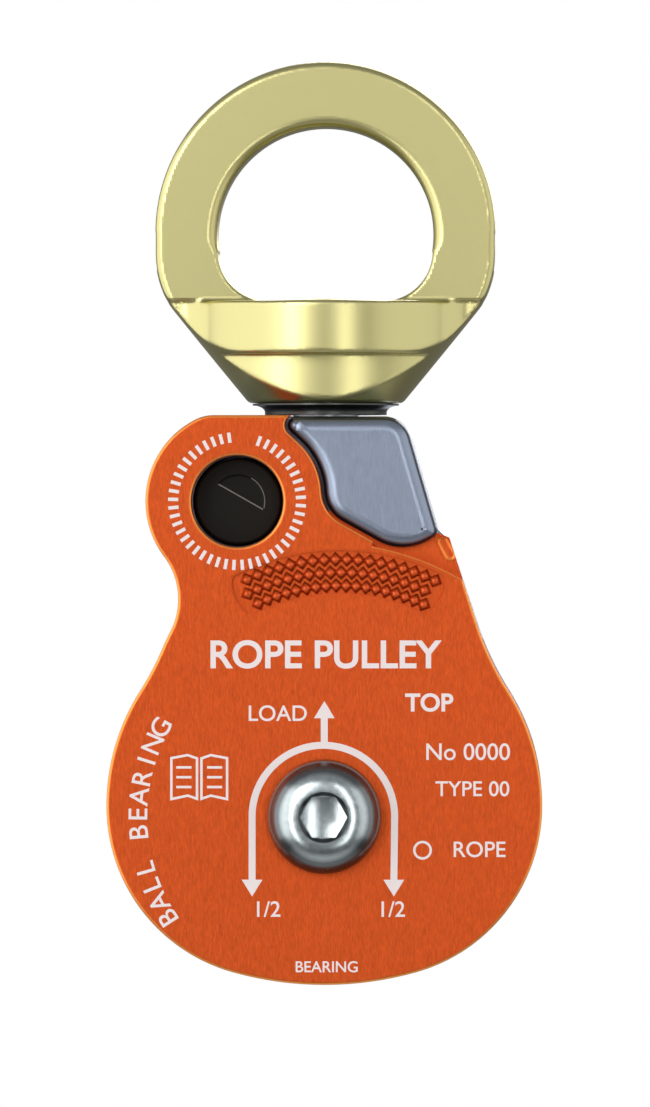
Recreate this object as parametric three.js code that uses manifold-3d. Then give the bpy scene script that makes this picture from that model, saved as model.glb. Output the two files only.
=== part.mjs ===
// Swivel-eye rope pulley with a side plate that swings open, in millimetres.
// +Z points up along the swivel axis, the opening side plate faces -Y, and the
// sheave turns about an axis along Y. The origin is the top of the eye's hole,
// where the connector sits, on the swivel axis and in the middle of the thickness.
// Heights in the constants below are measured up from the sheave axle's centre.

import * as THREE from 'three';
import { mergeVertices } from 'three/addons/utils/BufferGeometryUtils.js';
import Module from 'manifold-3d';

const wasm = await Module();
wasm.setup();

// ---- Driving dimensions ----

const FINE = 40;                   // facets round a large turned piece
const COARSE = 28;                 // facets round a small turned piece
const ARC_STEP = 9;                // degrees between points on an outline's arcs
const BIG_ARC = 72;                // facets round the arch and the lip
const MERGE_DISTANCE = 1e-5;
const SAME_POINT = 0.01;
const DEEP = 20;                   // half depth of a cutting tool, past every face
const WIDE = 40;                   // half width of a cutting tool, past both sides
const FIT = 0.1;                   // gap round a piece that is pressed or screwed in
const SLACK = 0.05;                // gap at a piece that lies in a groove

// Swivel eye
const EYE = {
  holeCentre: 71.07,
  holeRadius: 13.18,
  holeCornerX: 7.0,
  holeCornerZ: 69.1,
  holeCornerRadius: 6.1,
  holeFloor: 63.0,
  outerCentre: 71.43,
  outerRadius: 20.74,
  shoulderX: 8.1,
  shoulderZ: 68.9,
  shoulderRadius: 12.6,
  shoulderTurn: 39.8,              // degrees
  halfDepth: 4.7,
  edge: 0.8,
  foot: 9.2,                       // half width of the outline at the hub's bottom
};
const HUB = {
  bottom: 50.6,
  bottomRadius: 9.5,
  coneSlope: 1.24,                 // rise over run of the conical underside
  coneTop: 66,
  ledge: 56.6,
  upperRadius: 17.1,
  upperCentre: 3.5,
  lowerRadius: 24.0,
  lowerCentre: 14.0,
  sideHalfDepth: 4.1,
  envelopeTop: 100,
  join: 0.2,                       // how far the two halves of the hub run into each other
};

// Side plates, cheek gap and block
const PLATE = { inner: 7.8, outer: 12.2, top: 49.0, edge: 0.35 };
const BLOCK_FRONT = 7.5;           // distance of the crossbar's front face from the middle
const ARCH_RADIUS = 29.0;          // underside of the crossbar, over the rope
const BUTTON = { x: -10.63, z: 38.49, radius: 5.3, plateHole: 5.6, blockHole: 5.45 };
const EAR_RADIUS = 11.2;
const LOWER_SIDE = { x: 5.5, z: 1.3, radius: 21.1 };
const UPPER_SIDE = { x: 0.6, z: 1.3, radius: 26.0 };
const UPPER_SIDE_END = 32.5;       // degrees
const FLANK_RADIUS = 36.0;
const FLANK_TOP = 17.7;            // degrees from upright
const WAIST_FLANK_TOP = 22.0;
const WAIST_RADIUS = 8.72;
const WAIST_ANGLE = 216.9;         // degrees, from the button's centre to the waist arc's centre
const BOTTOM_RADIUS = 41.5;
const BLOCK_TOP = 48.9;
const BLOCK_TOP_START = -5;        // where the block's top edge leaves the ear
const BLOCK_SHOULDER = [           // corner x, corner z, corner radius
  [9.8, BLOCK_TOP, 3.4],
  [13.8, 35.1, 1.0],
  [15.2, 33.8, 0.8],
];
const CROSSBAR_RANGE = [15, 60];   // lowest and highest the crossbar can reach

// Lug that hooks over the plate's lip
const LUG = [                      // corner x, corner z, corner radius
  [-6.08, 48.8, 1.03],
  [9.8, 48.8, 3.4],
  [14.0, 34.4, 1.2],
  [9.5, 32.0, 5.35],
  [0.1, 37.25, 3.0],
  [-0.27, 43.4, 10.9],
];
const LUG_CLEARANCE = 0.35;
const LUG_EDGE = 0.8;
const LIP = {
  stepRadius: 33.5,
  stepFrom: 40,                    // degrees
  stepTo: 80,
  stepReach: 45,
  outerRadius: 37.3,
  outerFrom: 89,                   // degrees
  innerX: 0.65,
  stemRadius: 37.6,
  front: 9.9,
  lugUnderside: 10.2,
};
const PLATE_TIP = [15.25, 34.02];

// Swivel post
const POST = { radius: 4.0, hole: 4.3, top: 60.0, bottom: 29.9, headRadius: 6.5, headTop: 32.7 };
const POCKET = { radius: 6.8, top: 33.9 };
const SWIVEL_BUSH = { outer: 5.5, inner: 4.12, bottom: 44.45, top: 48.85, seat: 44.4 };
const THRUST_WASHER = { inner: 4.2, bottom: 32.75, top: 33.8 };
const COLLAR = { bottom: 49.15, top: 50.5, bore: 4.15, neck: 7.5, flare: 9.0, foot: 0.3, lip: 0.2 };
const SWIVEL_BORE = [20, 60];      // heights of the swivel's bores, from the rope gap to above the block

// Axle, screws and washers
const AXLE = { radius: 5.95, spigot: 5.0, shoulder: 7.55, end: 12.3, thread: 4.1, boreFloor: 3.0 };
const SCREW = {
  seat: -12.35,
  length: 8.6,
  shank: 4.0,
  headRadius: 7.0,
  headHeight: 4.4,
  crownRadius: 3.6,
  rim: 0.35,
  socketFlats: 5.0,
  socketDepth: 2.6,
  chamferOut: 1.2,
  chamferIn: 0.3,
  chamferDepth: 0.5,
};
const PLATE_BUSH = { inner: 5.12, outer: 6.12, hole: 6.2 };
const WASHER = { inner: 6.1, outer: 9.0, innerFace: 6.02, outerFace: 7.55 };

// Sheave and its two bearings
const SHEAVE = {
  halfWidth: 7.2,
  flange: 19.3,
  grooveCentre: 20.6,
  grooveRadius: 6.6,
  grooveStep: 16,                  // degrees
  facets: 48,
  edge: 0.4,
  edgeDepth: 0.3,
  bore: 12.1,
  shoulder: 11.2,
  seatStart: -6.08,
};
const CIRCLIP = { inner: 11.3, outer: 12.55, front: 6.08, back: 6.88, gap: 2.2, gapFrom: 8, gapTo: 14 };
const BEARING = {
  offset: 3.0,
  halfWidth: 2.95,
  bore: 6.05,
  innerLand: 7.75,
  outerLand: 10.25,
  outer: 12.0,
  pitch: 9.0,
  ball: 1.5875,
  race: 1.7,
  count: 8,
};
const CAGE = { inner: 8.4, outer: 9.6, halfWidth: 2.2, pocket: 1.8875, pocketFrom: 7, pocketTo: 11 };
const SHIELD = { inner: 7.95, outer: 10.12, inside: 2.4, outside: 2.75 };


// Latch
const LATCH = {
  headLength: 7.5,
  cavity: 4.25,
  cavityWall: 2.5,
  boreFloor: 2.0,
  stem: 2.0,
  stemHole: 2.3,
  stemEnd: 12.0,
  recess: 4.2,
  recessFloor: 6.5,
  edge: 0.3,
  neck: 1.6,
  neckFrom: 10.65,
  neckTo: 11.65,
};
const CLIP = { inner: 1.7, outer: 3.6, front: 10.75, back: 11.55, slot: 1.1, slotEnd: 5 };
const SCOOP = { radius: 3.4, height: 1, depth: 0.9, tilt: 12, turn: 32, x: 0.1, z: 0.3, sink: 0.35 };
const SPRING = { radius: 3.3, wire: 0.35, turns: 5, stepsPerTurn: 12, wireStep: 72, endGap: 0.15 };

const SEAT = EYE.holeCentre + EYE.holeRadius;

// ---- Materials ----

function finish(color, roughness, metalness) {
  return new THREE.MeshStandardMaterial({ color, roughness, metalness });
}

const EYE_METAL = finish(0xbeb47f, 0.38, 1.0);
const ORANGE_METAL = finish(0xd4551f, 0.42, 0.8);
const BODY_METAL = finish(0x7d8798, 0.4, 0.9);
const STEEL = finish(0x9aa0a4, 0.3, 1.0);
const ZINC = finish(0xb4bdc0, 0.25, 1.0);
const COLLAR_STEEL = finish(0x4c4c46, 0.4, 1.0);
const BRONZE = finish(0xa9773f, 0.4, 1.0);
const SHEAVE_METAL = finish(0xb9bcc0, 0.35, 1.0);
const BALL_STEEL = finish(0xd0d3d6, 0.1, 1.0);
const BLACK_METAL = finish(0x1d1a16, 0.35, 0.6);
const CAGE_METAL = finish(0x8d8f8c, 0.4, 1.0);

// ---- Geometry helpers ----

const radians = THREE.MathUtils.degToRad;

function solid(geometry) {
  const bare = geometry.clone();
  bare.deleteAttribute('normal');
  bare.deleteAttribute('uv');
  const merged = mergeVertices(bare, MERGE_DISTANCE);
  const positions = new Float32Array(merged.attributes.position.array);
  const corner = (index) => new THREE.Vector3().fromArray(positions, 3 * index);
  const triangles = [];
  let volume = 0;
  for (let i = 0; i < merged.index.count; i += 3) {
    const [a, b, c] = [0, 1, 2].map((k) => merged.index.getX(i + k));
    if (a === b || b === c || c === a) continue;
    triangles.push([a, b, c]);
    volume += corner(a).dot(corner(b).cross(corner(c)));
  }
  const ordered = volume > 0 ? triangles : triangles.map(([a, b, c]) => [a, c, b]);
  return new wasm.Manifold(new wasm.Mesh({
    numProp: 3,
    vertProperties: positions,
    triVerts: new Uint32Array(ordered.flat()),
  }));
}

function surface(manifold) {
  const mesh = manifold.getMesh();
  const geometry = new THREE.BufferGeometry();
  geometry.setAttribute('position', new THREE.BufferAttribute(new Float32Array(mesh.vertProperties), 3));
  geometry.setIndex(new THREE.BufferAttribute(new Uint32Array(mesh.triVerts), 1));
  geometry.computeVertexNormals();
  return geometry;
}

function part(name, manifold, material) {
  const mesh = new THREE.Mesh(surface(manifold), material);
  mesh.name = name;
  return mesh;
}

function distinct(points) {
  return points.filter((p, i) => p.distanceTo(points[(i + 1) % points.length]) > SAME_POINT);
}

function arc(x, z, radius, from, to, step = ARC_STEP) {
  const count = Math.max(2, Math.ceil(Math.abs(to - from) / step));
  return Array.from({ length: count + 1 }, (_, i) => {
    const angle = radians(from + ((to - from) * i) / count);
    return new THREE.Vector2(x + radius * Math.cos(angle), z + radius * Math.sin(angle));
  });
}

function mirrored(points) {
  return points.map((p) => new THREE.Vector2(-p.x, p.y)).reverse();
}

function rectangle(halfWidth, low, high) {
  return [
    new THREE.Vector2(-halfWidth, low),
    new THREE.Vector2(halfWidth, low),
    new THREE.Vector2(halfWidth, high),
    new THREE.Vector2(-halfWidth, high),
  ];
}

// Points of a closed outline from corners [x, z, radius], each corner rounded by an arc.
function rounded(corners) {
  const points = [];
  corners.forEach(([x, z, radius], i) => {
    const vertex = new THREE.Vector2(x, z);
    if (radius === 0) {
      points.push(vertex);
      return;
    }
    const before = corners[(i + corners.length - 1) % corners.length];
    const after = corners[(i + 1) % corners.length];
    const inward = vertex.clone().sub(new THREE.Vector2(before[0], before[1])).normalize();
    const outward = new THREE.Vector2(after[0], after[1]).sub(vertex).normalize();
    const turn = Math.atan2(inward.cross(outward), inward.dot(outward));
    const start = vertex.clone().addScaledVector(inward, -radius * Math.tan(Math.abs(turn) / 2));
    const side = Math.sign(turn);
    const centre = start.clone().add(new THREE.Vector2(-inward.y, inward.x).multiplyScalar(radius * side));
    const from = THREE.MathUtils.radToDeg(Math.atan2(start.y - centre.y, start.x - centre.x));
    points.push(...arc(centre.x, centre.y, radius, from, from + THREE.MathUtils.radToDeg(turn)));
  });
  return points;
}

// The same corners moved outwards by a distance. The corners run clockwise.
function widened(corners, distance) {
  return corners.map(([x, z, radius], i) => {
    const before = corners[(i + corners.length - 1) % corners.length];
    const after = corners[(i + 1) % corners.length];
    const inward = new THREE.Vector2(x - before[0], z - before[1]).normalize();
    const outward = new THREE.Vector2(after[0] - x, after[1] - z).normalize();
    const normal = new THREE.Vector2(-inward.y - outward.y, inward.x + outward.x).normalize();
    const reach = distance / Math.sqrt((1 + inward.dot(outward)) / 2);
    const bulges = inward.cross(outward) < 0;
    return [x + normal.x * reach, z + normal.y * reach, radius + (bulges ? distance : -distance)];
  });
}

// A solid between two Y planes, from an outline drawn in X and Z.
function prism(points, low, high, edge = 0, holes = []) {
  const shape = new THREE.Shape(distinct(points));
  shape.holes = holes.map((hole) => new THREE.Path(distinct(hole)));
  const geometry = new THREE.ExtrudeGeometry(shape, {
    depth: high - low - 2 * edge,
    bevelEnabled: edge > 0,
    bevelThickness: edge,
    bevelSize: edge,
    bevelOffset: -edge,
    bevelSegments: 1,
    steps: 1,
  });
  geometry.rotateX(Math.PI / 2);
  geometry.translate(0, high - edge, 0);
  return solid(geometry);
}

// A solid of revolution about Y, from [radius, y] points.
function turned(profile, facets = FINE) {
  return solid(new THREE.LatheGeometry(profile.map(([r, y]) => new THREE.Vector2(r, y)), facets));
}

// A solid of revolution about Z, from [radius, z] points.
function turnedUpright(profile, facets = FINE) {
  const geometry = new THREE.LatheGeometry(profile.map(([r, z]) => new THREE.Vector2(r, z)), facets);
  geometry.rotateX(Math.PI / 2);
  return solid(geometry);
}

function rod(radius, low, high, facets = FINE) {
  return turned([[0, low], [radius, low], [radius, high], [0, high]], facets);
}

function uprightRod(radius, low, high, facets = FINE) {
  return turnedUpright([[0, low], [radius, low], [radius, high], [0, high]], facets);
}

function ring(inner, outer, low, high, facets = FINE) {
  return turned([[inner, low], [outer, low], [outer, high], [inner, high], [inner, low]], facets);
}

function uprightRing(inner, outer, low, high, facets = FINE) {
  return turnedUpright([[inner, low], [outer, low], [outer, high], [inner, high], [inner, low]], facets);
}

// ---- Swivel eye ----

function eyeOutline() {
  const { outerCentre, outerRadius, shoulderX, shoulderZ, shoulderRadius, shoulderTurn } = EYE;
  const right = [
    new THREE.Vector2(EYE.foot, HUB.bottom),
    ...arc(shoulderX, shoulderZ, shoulderRadius, -shoulderTurn, 0),
  ];
  return [...right, ...arc(0, outerCentre, outerRadius, 0, 180), ...mirrored(right)];
}

function eyeHole() {
  const { holeCentre, holeRadius, holeCornerX, holeCornerZ, holeCornerRadius, holeFloor } = EYE;
  const wall = THREE.MathUtils.radToDeg(Math.asin((holeCornerZ - holeCentre) / holeRadius));
  const right = arc(holeCornerX, holeCornerZ, holeCornerRadius, -90, wall);
  right[0].y = holeFloor;
  return [...right, ...arc(0, holeCentre, holeRadius, 0, 180), ...mirrored(right)];
}

function makeSwivelEye() {
  const { bottom, bottomRadius, ledge, coneTop, envelopeTop, sideHalfDepth, join } = HUB;
  const slice = (low, high) => prism(rectangle(WIDE, low, high), -DEEP, DEEP);
  const lens = (radius, centre, low, high) => {
    const front = uprightRod(radius, low, high, BIG_ARC).translate([0, centre, 0]);
    const back = uprightRod(radius, low, high, BIG_ARC).translate([0, -centre, 0]);
    return front.intersect(back);
  };
  const hub = lens(HUB.upperRadius, HUB.upperCentre, ledge, EYE.holeFloor)
    .add(lens(HUB.lowerRadius, HUB.lowerCentre, bottom, ledge + join))
    .add(prism(eyeOutline(), -sideHalfDepth, sideHalfDepth).intersect(slice(ledge, EYE.holeFloor)));
  const coneRadius = bottomRadius + (coneTop - bottom) / HUB.coneSlope;
  const envelope = turnedUpright([
    [0, bottom],
    [bottomRadius, bottom],
    [coneRadius, coneTop],
    [coneRadius, envelopeTop],
    [0, envelopeTop],
  ]);
  const outlineBlock = prism(eyeOutline(), -DEEP, DEEP);
  const flatRing = prism(eyeOutline(), -EYE.halfDepth, EYE.halfDepth, EYE.edge, [eyeHole()])
    .intersect(slice(EYE.holeFloor - FIT, envelopeTop));
  const body = flatRing.add(hub.intersect(outlineBlock)).intersect(envelope);
  return body.subtract(uprightRod(POST.radius + FIT, BLOCK_TOP, POST.top + 2 * FIT, COARSE));
}

function makeSwivelPost() {
  return turnedUpright([
    [0, POST.bottom],
    [POST.headRadius, POST.bottom],
    [POST.headRadius, POST.headTop],
    [POST.radius, POST.headTop],
    [POST.radius, POST.top],
    [0, POST.top],
  ], COARSE);
}

function makeSwivelCollar() {
  const { bottom, top, bore, neck, flare, foot, lip } = COLLAR;
  const cove = [0, 1, 2, 3].map((i) => {
    const angle = radians(30 * i);
    const rise = (top - bottom - foot - lip) * Math.sin(angle);
    return [neck + (flare - neck) * (1 - Math.cos(angle)), bottom + foot + rise];
  });
  return turnedUpright([
    [bore, bottom],
    [neck, bottom],
    ...cove,
    [flare, top],
    [bore, top],
    [bore, bottom],
  ], COARSE);
}

function makeSwivelBush() {
  return uprightRing(SWIVEL_BUSH.inner, SWIVEL_BUSH.outer, SWIVEL_BUSH.bottom, SWIVEL_BUSH.top, COARSE);
}

function makeThrustWasher() {
  return uprightRing(THRUST_WASHER.inner, POST.headRadius, THRUST_WASHER.bottom, THRUST_WASHER.top, COARSE);
}

// ---- Block: rear plate, crossbar and lug in one piece ----

function flankCentre() {
  const angle = radians(UPPER_SIDE_END);
  const reach = UPPER_SIDE.radius + FLANK_RADIUS;
  return [UPPER_SIDE.x + reach * Math.cos(angle), UPPER_SIDE.z + reach * Math.sin(angle)];
}

// The rounded lower body, from the right flank's top round the bottom to the left flank's top.
function bulbPoints() {
  const bottomCentre = LOWER_SIDE.z + Math.sqrt((BOTTOM_RADIUS - LOWER_SIDE.radius) ** 2 - LOWER_SIDE.x ** 2);
  const tangency = THREE.MathUtils.radToDeg(Math.atan2(LOWER_SIDE.z - bottomCentre, LOWER_SIDE.x));
  const [flankX, flankZ] = flankCentre();
  const flank = (end) => arc(flankX, flankZ, FLANK_RADIUS, 180 + end, 180 + UPPER_SIDE_END);
  const side = [
    ...arc(UPPER_SIDE.x, UPPER_SIDE.z, UPPER_SIDE.radius, UPPER_SIDE_END, 0),
    ...arc(LOWER_SIDE.x, LOWER_SIDE.z, LOWER_SIDE.radius, 0, tangency),
  ];
  const bottom = arc(0, bottomCentre, BOTTOM_RADIUS, tangency, -180 - tangency);
  const right = [...flank(FLANK_TOP), ...side];
  const left = [...flank(WAIST_FLANK_TOP), ...side];
  return [...right, ...bottom, ...mirrored(left)];
}

// The waist and the ear round the button, up to the flat top.
function earPoints() {
  const reach = EAR_RADIUS + WAIST_RADIUS;
  const waistX = BUTTON.x + reach * Math.cos(radians(WAIST_ANGLE));
  const waistZ = BUTTON.z + reach * Math.sin(radians(WAIST_ANGLE));
  const topAngle = 180 - THREE.MathUtils.radToDeg(Math.asin((PLATE.top - BUTTON.z) / EAR_RADIUS));
  return [
    ...arc(waistX, waistZ, WAIST_RADIUS, -WAIST_FLANK_TOP, WAIST_ANGLE - 180),
    ...arc(BUTTON.x, BUTTON.z, EAR_RADIUS, WAIST_ANGLE, topAngle),
  ];
}

function blockOutline() {
  const [flankX, flankZ] = flankCentre();
  const flankTop = [
    flankX - FLANK_RADIUS * Math.cos(radians(FLANK_TOP)),
    flankZ - FLANK_RADIUS * Math.sin(radians(FLANK_TOP)),
    0,
  ];
  const shoulder = rounded([[BLOCK_TOP_START, BLOCK_TOP, 0], ...BLOCK_SHOULDER, flankTop]);
  return [...bulbPoints(), ...earPoints(), ...shoulder];
}

function lugPrism(clearance, low, high, edge = 0) {
  return prism(rounded(widened(LUG, clearance)), low, high, edge);
}

function makeBlock() {
  const rear = prism(blockOutline(), PLATE.inner, PLATE.outer, PLATE.edge);
  const crossbar = prism(blockOutline(), -BLOCK_FRONT, PLATE.inner + 1, PLATE.edge)
    .subtract(rod(ARCH_RADIUS, -DEEP, PLATE.inner, BIG_ARC))
    .intersect(prism(rectangle(WIDE, ...CROSSBAR_RANGE), -DEEP, DEEP));
  const lug = lugPrism(0, -PLATE.outer, 0, LUG_EDGE)
    .subtract(rod(LIP.stemRadius, -LIP.lugUnderside, DEEP, BIG_ARC))
    .intersect(prism(blockOutline(), -DEEP, DEEP));
  const [boreBottom, boreTop] = SWIVEL_BORE;
  const latchBores = [
    rod(BUTTON.blockHole, -DEEP, LATCH.boreFloor, COARSE),
    rod(LATCH.stemHole, -DEEP, DEEP, COARSE),
    rod(LATCH.recess, LATCH.recessFloor, DEEP, COARSE),
  ];
  const bores = [
    ...latchBores.map((bore) => bore.translate([BUTTON.x, 0, BUTTON.z])),
    uprightRod(POST.hole, boreBottom, boreTop, COARSE),
    uprightRod(SWIVEL_BUSH.outer + FIT, SWIVEL_BUSH.seat, boreTop, COARSE),
    uprightRod(POCKET.radius, boreBottom, POCKET.top, COARSE),
    rod(AXLE.spigot + FIT, 0, DEEP, COARSE),
  ];
  return bores.reduce((body, bore) => body.subtract(bore), rear.add(crossbar).add(lug));
}

// ---- Opening side plate ----

function plateOutline() {
  const tipAngle = THREE.MathUtils.radToDeg(Math.atan2(PLATE_TIP[1], PLATE_TIP[0]));
  const inside = new THREE.Vector2(LIP.innerX, PLATE.top);
  return [...bulbPoints(), ...earPoints(), inside, ...arc(0, 0, LIP.outerRadius, LIP.outerFrom, tipAngle)];
}

function makeFrontPlate() {
  const blank = prism(plateOutline(), -PLATE.outer, -PLATE.inner, PLATE.edge);
  const overhang = lugPrism(LUG_CLEARANCE, -DEEP, -LIP.front);
  const stem = lugPrism(LUG_CLEARANCE, -DEEP, 0).subtract(rod(LIP.outerRadius, -DEEP, 0, BIG_ARC));
  const { stepRadius, stepReach, stepFrom, stepTo } = LIP;
  const lipStep = prism(
    [...arc(0, 0, stepRadius, stepFrom, stepTo), ...arc(0, 0, stepReach, stepTo, stepFrom)],
    -DEEP,
    -LIP.front,
  );
  return blank
    .subtract(overhang)
    .subtract(stem)
    .subtract(lipStep)
    .subtract(rod(PLATE_BUSH.hole, -DEEP, 0))
    .subtract(rod(BUTTON.plateHole, -DEEP, 0, COARSE).translate([BUTTON.x, 0, BUTTON.z]));
}

// ---- Axle and fasteners ----

function makeAxle() {
  const { radius, spigot, shoulder, end, thread, boreFloor } = AXLE;
  return turned([
    [0, -boreFloor],
    [thread, -boreFloor],
    [thread, -end],
    [spigot, -end],
    [spigot, -shoulder],
    [radius, -shoulder],
    [radius, shoulder],
    [spigot, shoulder],
    [spigot, end],
    [thread, end],
    [thread, boreFloor],
    [0, boreFloor],
  ], COARSE);
}

// Button-head screw with its head on the -Y side.
function makeScrew() {
  const { seat, length, shank, headRadius, headHeight, crownRadius, rim } = SCREW;
  const crown = seat - headHeight;
  const dome = [0, 1, 2, 3, 4, 5].map((i) => {
    const angle = radians(18 * i);
    return [
      crownRadius + (headRadius - crownRadius) * Math.cos(angle),
      seat - rim - (headHeight - rim) * Math.sin(angle),
    ];
  });
  const body = turned([
    [0, crown],
    ...dome.reverse(),
    [headRadius, seat],
    [shank, seat],
    [shank, seat + length],
    [0, seat + length],
  ], COARSE);
  const hexRadius = SCREW.socketFlats / 2 / Math.cos(Math.PI / 6);
  const socket = rod(hexRadius, crown - 1, crown + SCREW.socketDepth, 6);
  const chamfer = turned([
    [0, crown - 1],
    [hexRadius + SCREW.chamferOut, crown - 1],
    [hexRadius - SCREW.chamferIn, crown + SCREW.chamferDepth],
    [0, crown + SCREW.chamferDepth],
  ], COARSE);
  return body.subtract(socket).subtract(chamfer);
}

// ---- Sheave and bearings ----

function makeSheave() {
  const { halfWidth, flange, grooveCentre, grooveRadius } = SHEAVE;
  const { bore, shoulder, seatStart, edge, edgeDepth } = SHEAVE;
  const rim = THREE.MathUtils.radToDeg(Math.acos((grooveCentre - flange) / grooveRadius));
  const groove = arc(grooveCentre, 0, grooveRadius, 180 + rim, 180 - rim, SHEAVE.grooveStep);
  return turned([
    [shoulder, -halfWidth],
    [flange - edge, -halfWidth],
    [flange, -halfWidth + edgeDepth],
    ...groove.map((p) => [p.x, p.y]),
    [flange, halfWidth - edgeDepth],
    [flange - edge, halfWidth],
    [bore, halfWidth],
    [bore, CIRCLIP.back + SLACK],
    [CIRCLIP.outer + SLACK, CIRCLIP.back + SLACK],
    [CIRCLIP.outer + SLACK, CIRCLIP.front - SLACK],
    [bore, CIRCLIP.front - SLACK],
    [bore, seatStart],
    [shoulder, seatStart],
    [shoulder, -halfWidth],
  ], SHEAVE.facets);
}

function makeCirclip() {
  const gap = prism(rectangle(CIRCLIP.gap, CIRCLIP.gapFrom, CIRCLIP.gapTo), -DEEP, DEEP);
  return ring(CIRCLIP.inner, CIRCLIP.outer, CIRCLIP.front, CIRCLIP.back, COARSE).subtract(gap);
}

function racewayArc(from, to) {
  return [0, 1, 2, 3, 4].map((i) => {
    const angle = radians(from + ((to - from) * i) / 4);
    return [BEARING.pitch + BEARING.race * Math.cos(angle), BEARING.race * Math.sin(angle)];
  });
}

function makeInnerRing() {
  const { bore, innerLand, halfWidth, pitch, race } = BEARING;
  const edge = THREE.MathUtils.radToDeg(Math.acos((pitch - innerLand) / race));
  return turned([
    [bore, -halfWidth],
    [innerLand, -halfWidth],
    ...racewayArc(180 + edge, 180 - edge),
    [innerLand, halfWidth],
    [bore, halfWidth],
    [bore, -halfWidth],
  ], COARSE);
}

function makeOuterRing() {
  const { outer, outerLand, halfWidth, pitch, race } = BEARING;
  const edge = THREE.MathUtils.radToDeg(Math.acos((outerLand - pitch) / race));
  return turned([
    [outer, -halfWidth],
    [outer, halfWidth],
    [outerLand, halfWidth],
    ...racewayArc(edge, -edge),
    [outerLand, -halfWidth],
    [outer, -halfWidth],
  ], COARSE);
}

function ballPlace(index) {
  const angle = (2 * Math.PI * index) / BEARING.count;
  return [BEARING.pitch * Math.cos(angle), 0, BEARING.pitch * Math.sin(angle)];
}

function ballSolid(radius, detail) {
  return solid(new THREE.IcosahedronGeometry(radius, detail));
}

function makeCage() {
  const { count } = BEARING;
  const pocket = rod(CAGE.pocket, CAGE.pocketFrom, CAGE.pocketTo, 12).rotate([0, 0, -90]);
  let cage = ring(CAGE.inner, CAGE.outer, -CAGE.halfWidth, CAGE.halfWidth, 2 * count);
  for (let i = 0; i < count; i += 1) {
    cage = cage.subtract(pocket.rotate([0, (360 * i) / count, 0]));
  }
  return cage;
}

function makeBearing(name, centre) {
  const group = new THREE.Group();
  group.position.y = centre;
  const shield = ring(SHIELD.inner, SHIELD.outer, SHIELD.inside, SHIELD.outside, COARSE);
  group.add(
    part(`${name}_inner_ring`, makeInnerRing(), STEEL),
    part(`${name}_outer_ring`, makeOuterRing(), STEEL),
    part(`${name}_cage`, makeCage(), CAGE_METAL),
    part(`${name}_rear_shield`, shield, STEEL),
    part(`${name}_front_shield`, shield.mirror([0, 1, 0]), STEEL),
  );
  for (let i = 0; i < BEARING.count; i += 1) {
    const ball = part(`${name}_ball_${i + 1}`, ballSolid(BEARING.ball, 1), BALL_STEEL);
    ball.position.set(...ballPlace(i));
    group.add(ball);
  }
  return group;
}

// ---- Latch: button, spring and retaining clip, modelled with the button held in ----

function makeLatchButton() {
  const { headLength, cavity, cavityWall, stem, stemEnd, edge, neck, neckFrom, neckTo } = LATCH;
  const top = -BLOCK_FRONT;
  const base = top + headLength;
  const floor = top + cavityWall;
  const body = turned([
    [0, top],
    [BUTTON.radius - edge, top],
    [BUTTON.radius, top + edge],
    [BUTTON.radius, base],
    [cavity, base],
    [cavity, floor],
    [stem, floor],
    [stem, neckFrom],
    [neck, neckFrom],
    [neck, neckTo],
    [stem, neckTo],
    [stem, stemEnd],
    [0, stemEnd],
  ], COARSE);
  // A finger scoop: a shallow slanted cut bounded by a chord across the top.
  const scoop = prism(arc(0, 0, SCOOP.radius, 0, 180), -SCOOP.height, SCOOP.depth)
    .rotate([SCOOP.tilt, 0, 0])
    .rotate([0, SCOOP.turn, 0])
    .translate([SCOOP.x, top - SCOOP.sink, SCOOP.z]);
  return body.subtract(scoop);
}

function makeLatchSpring() {
  const { radius, wire, turns, endGap } = SPRING;
  const low = -BLOCK_FRONT + LATCH.cavityWall + wire + endGap;
  const high = LATCH.boreFloor - wire - endGap;
  class Coil extends THREE.Curve {
    getPoint(t, target = new THREE.Vector3()) {
      const angle = 2 * Math.PI * turns * t;
      return target.set(radius * Math.cos(angle), low + (high - low) * t, radius * Math.sin(angle));
    }
  }
  const section = new THREE.Shape(arc(0, 0, wire, 0, 360 - SPRING.wireStep, SPRING.wireStep));
  return solid(new THREE.ExtrudeGeometry(section, {
    steps: turns * SPRING.stepsPerTurn,
    extrudePath: new Coil(),
    bevelEnabled: false,
  }));
}

function makeLatchClip() {
  const slot = prism(rectangle(CLIP.slot, 0, CLIP.slotEnd), 0, DEEP);
  return ring(CLIP.inner, CLIP.outer, CLIP.front, CLIP.back, COARSE).subtract(slot);
}

// ---- Assembly ----

function makeWasher(side) {
  const washer = ring(WASHER.inner, WASHER.outer, WASHER.innerFace, WASHER.outerFace, COARSE);
  return side < 0 ? washer.mirror([0, 1, 0]) : washer;
}

const pulley = new THREE.Group();
pulley.position.z = -SEAT;

pulley.add(
  part('swivel_eye', makeSwivelEye(), EYE_METAL),
  part('swivel_post', makeSwivelPost(), STEEL),
  part('swivel_collar', makeSwivelCollar(), COLLAR_STEEL),
  part('swivel_thrust_washer', makeThrustWasher(), BRONZE),
  part('swivel_bush', makeSwivelBush(), BRONZE),
  part('block_body', makeBlock(), BODY_METAL),
  part('front_plate', makeFrontPlate(), ORANGE_METAL),
  part('plate_bush', ring(PLATE_BUSH.inner, PLATE_BUSH.outer, -PLATE.outer, -PLATE.inner), BRONZE),
  part('axle', makeAxle(), STEEL),
  part('front_axle_screw', makeScrew(), ZINC),
  part('front_spacer_washer', makeWasher(-1), BRONZE),
  part('rear_spacer_washer', makeWasher(1), BRONZE),
  part('sheave', makeSheave(), SHEAVE_METAL),
  part('sheave_circlip', makeCirclip(), STEEL),
  makeBearing('front_bearing', -BEARING.offset),
  makeBearing('rear_bearing', BEARING.offset),
);

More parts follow.
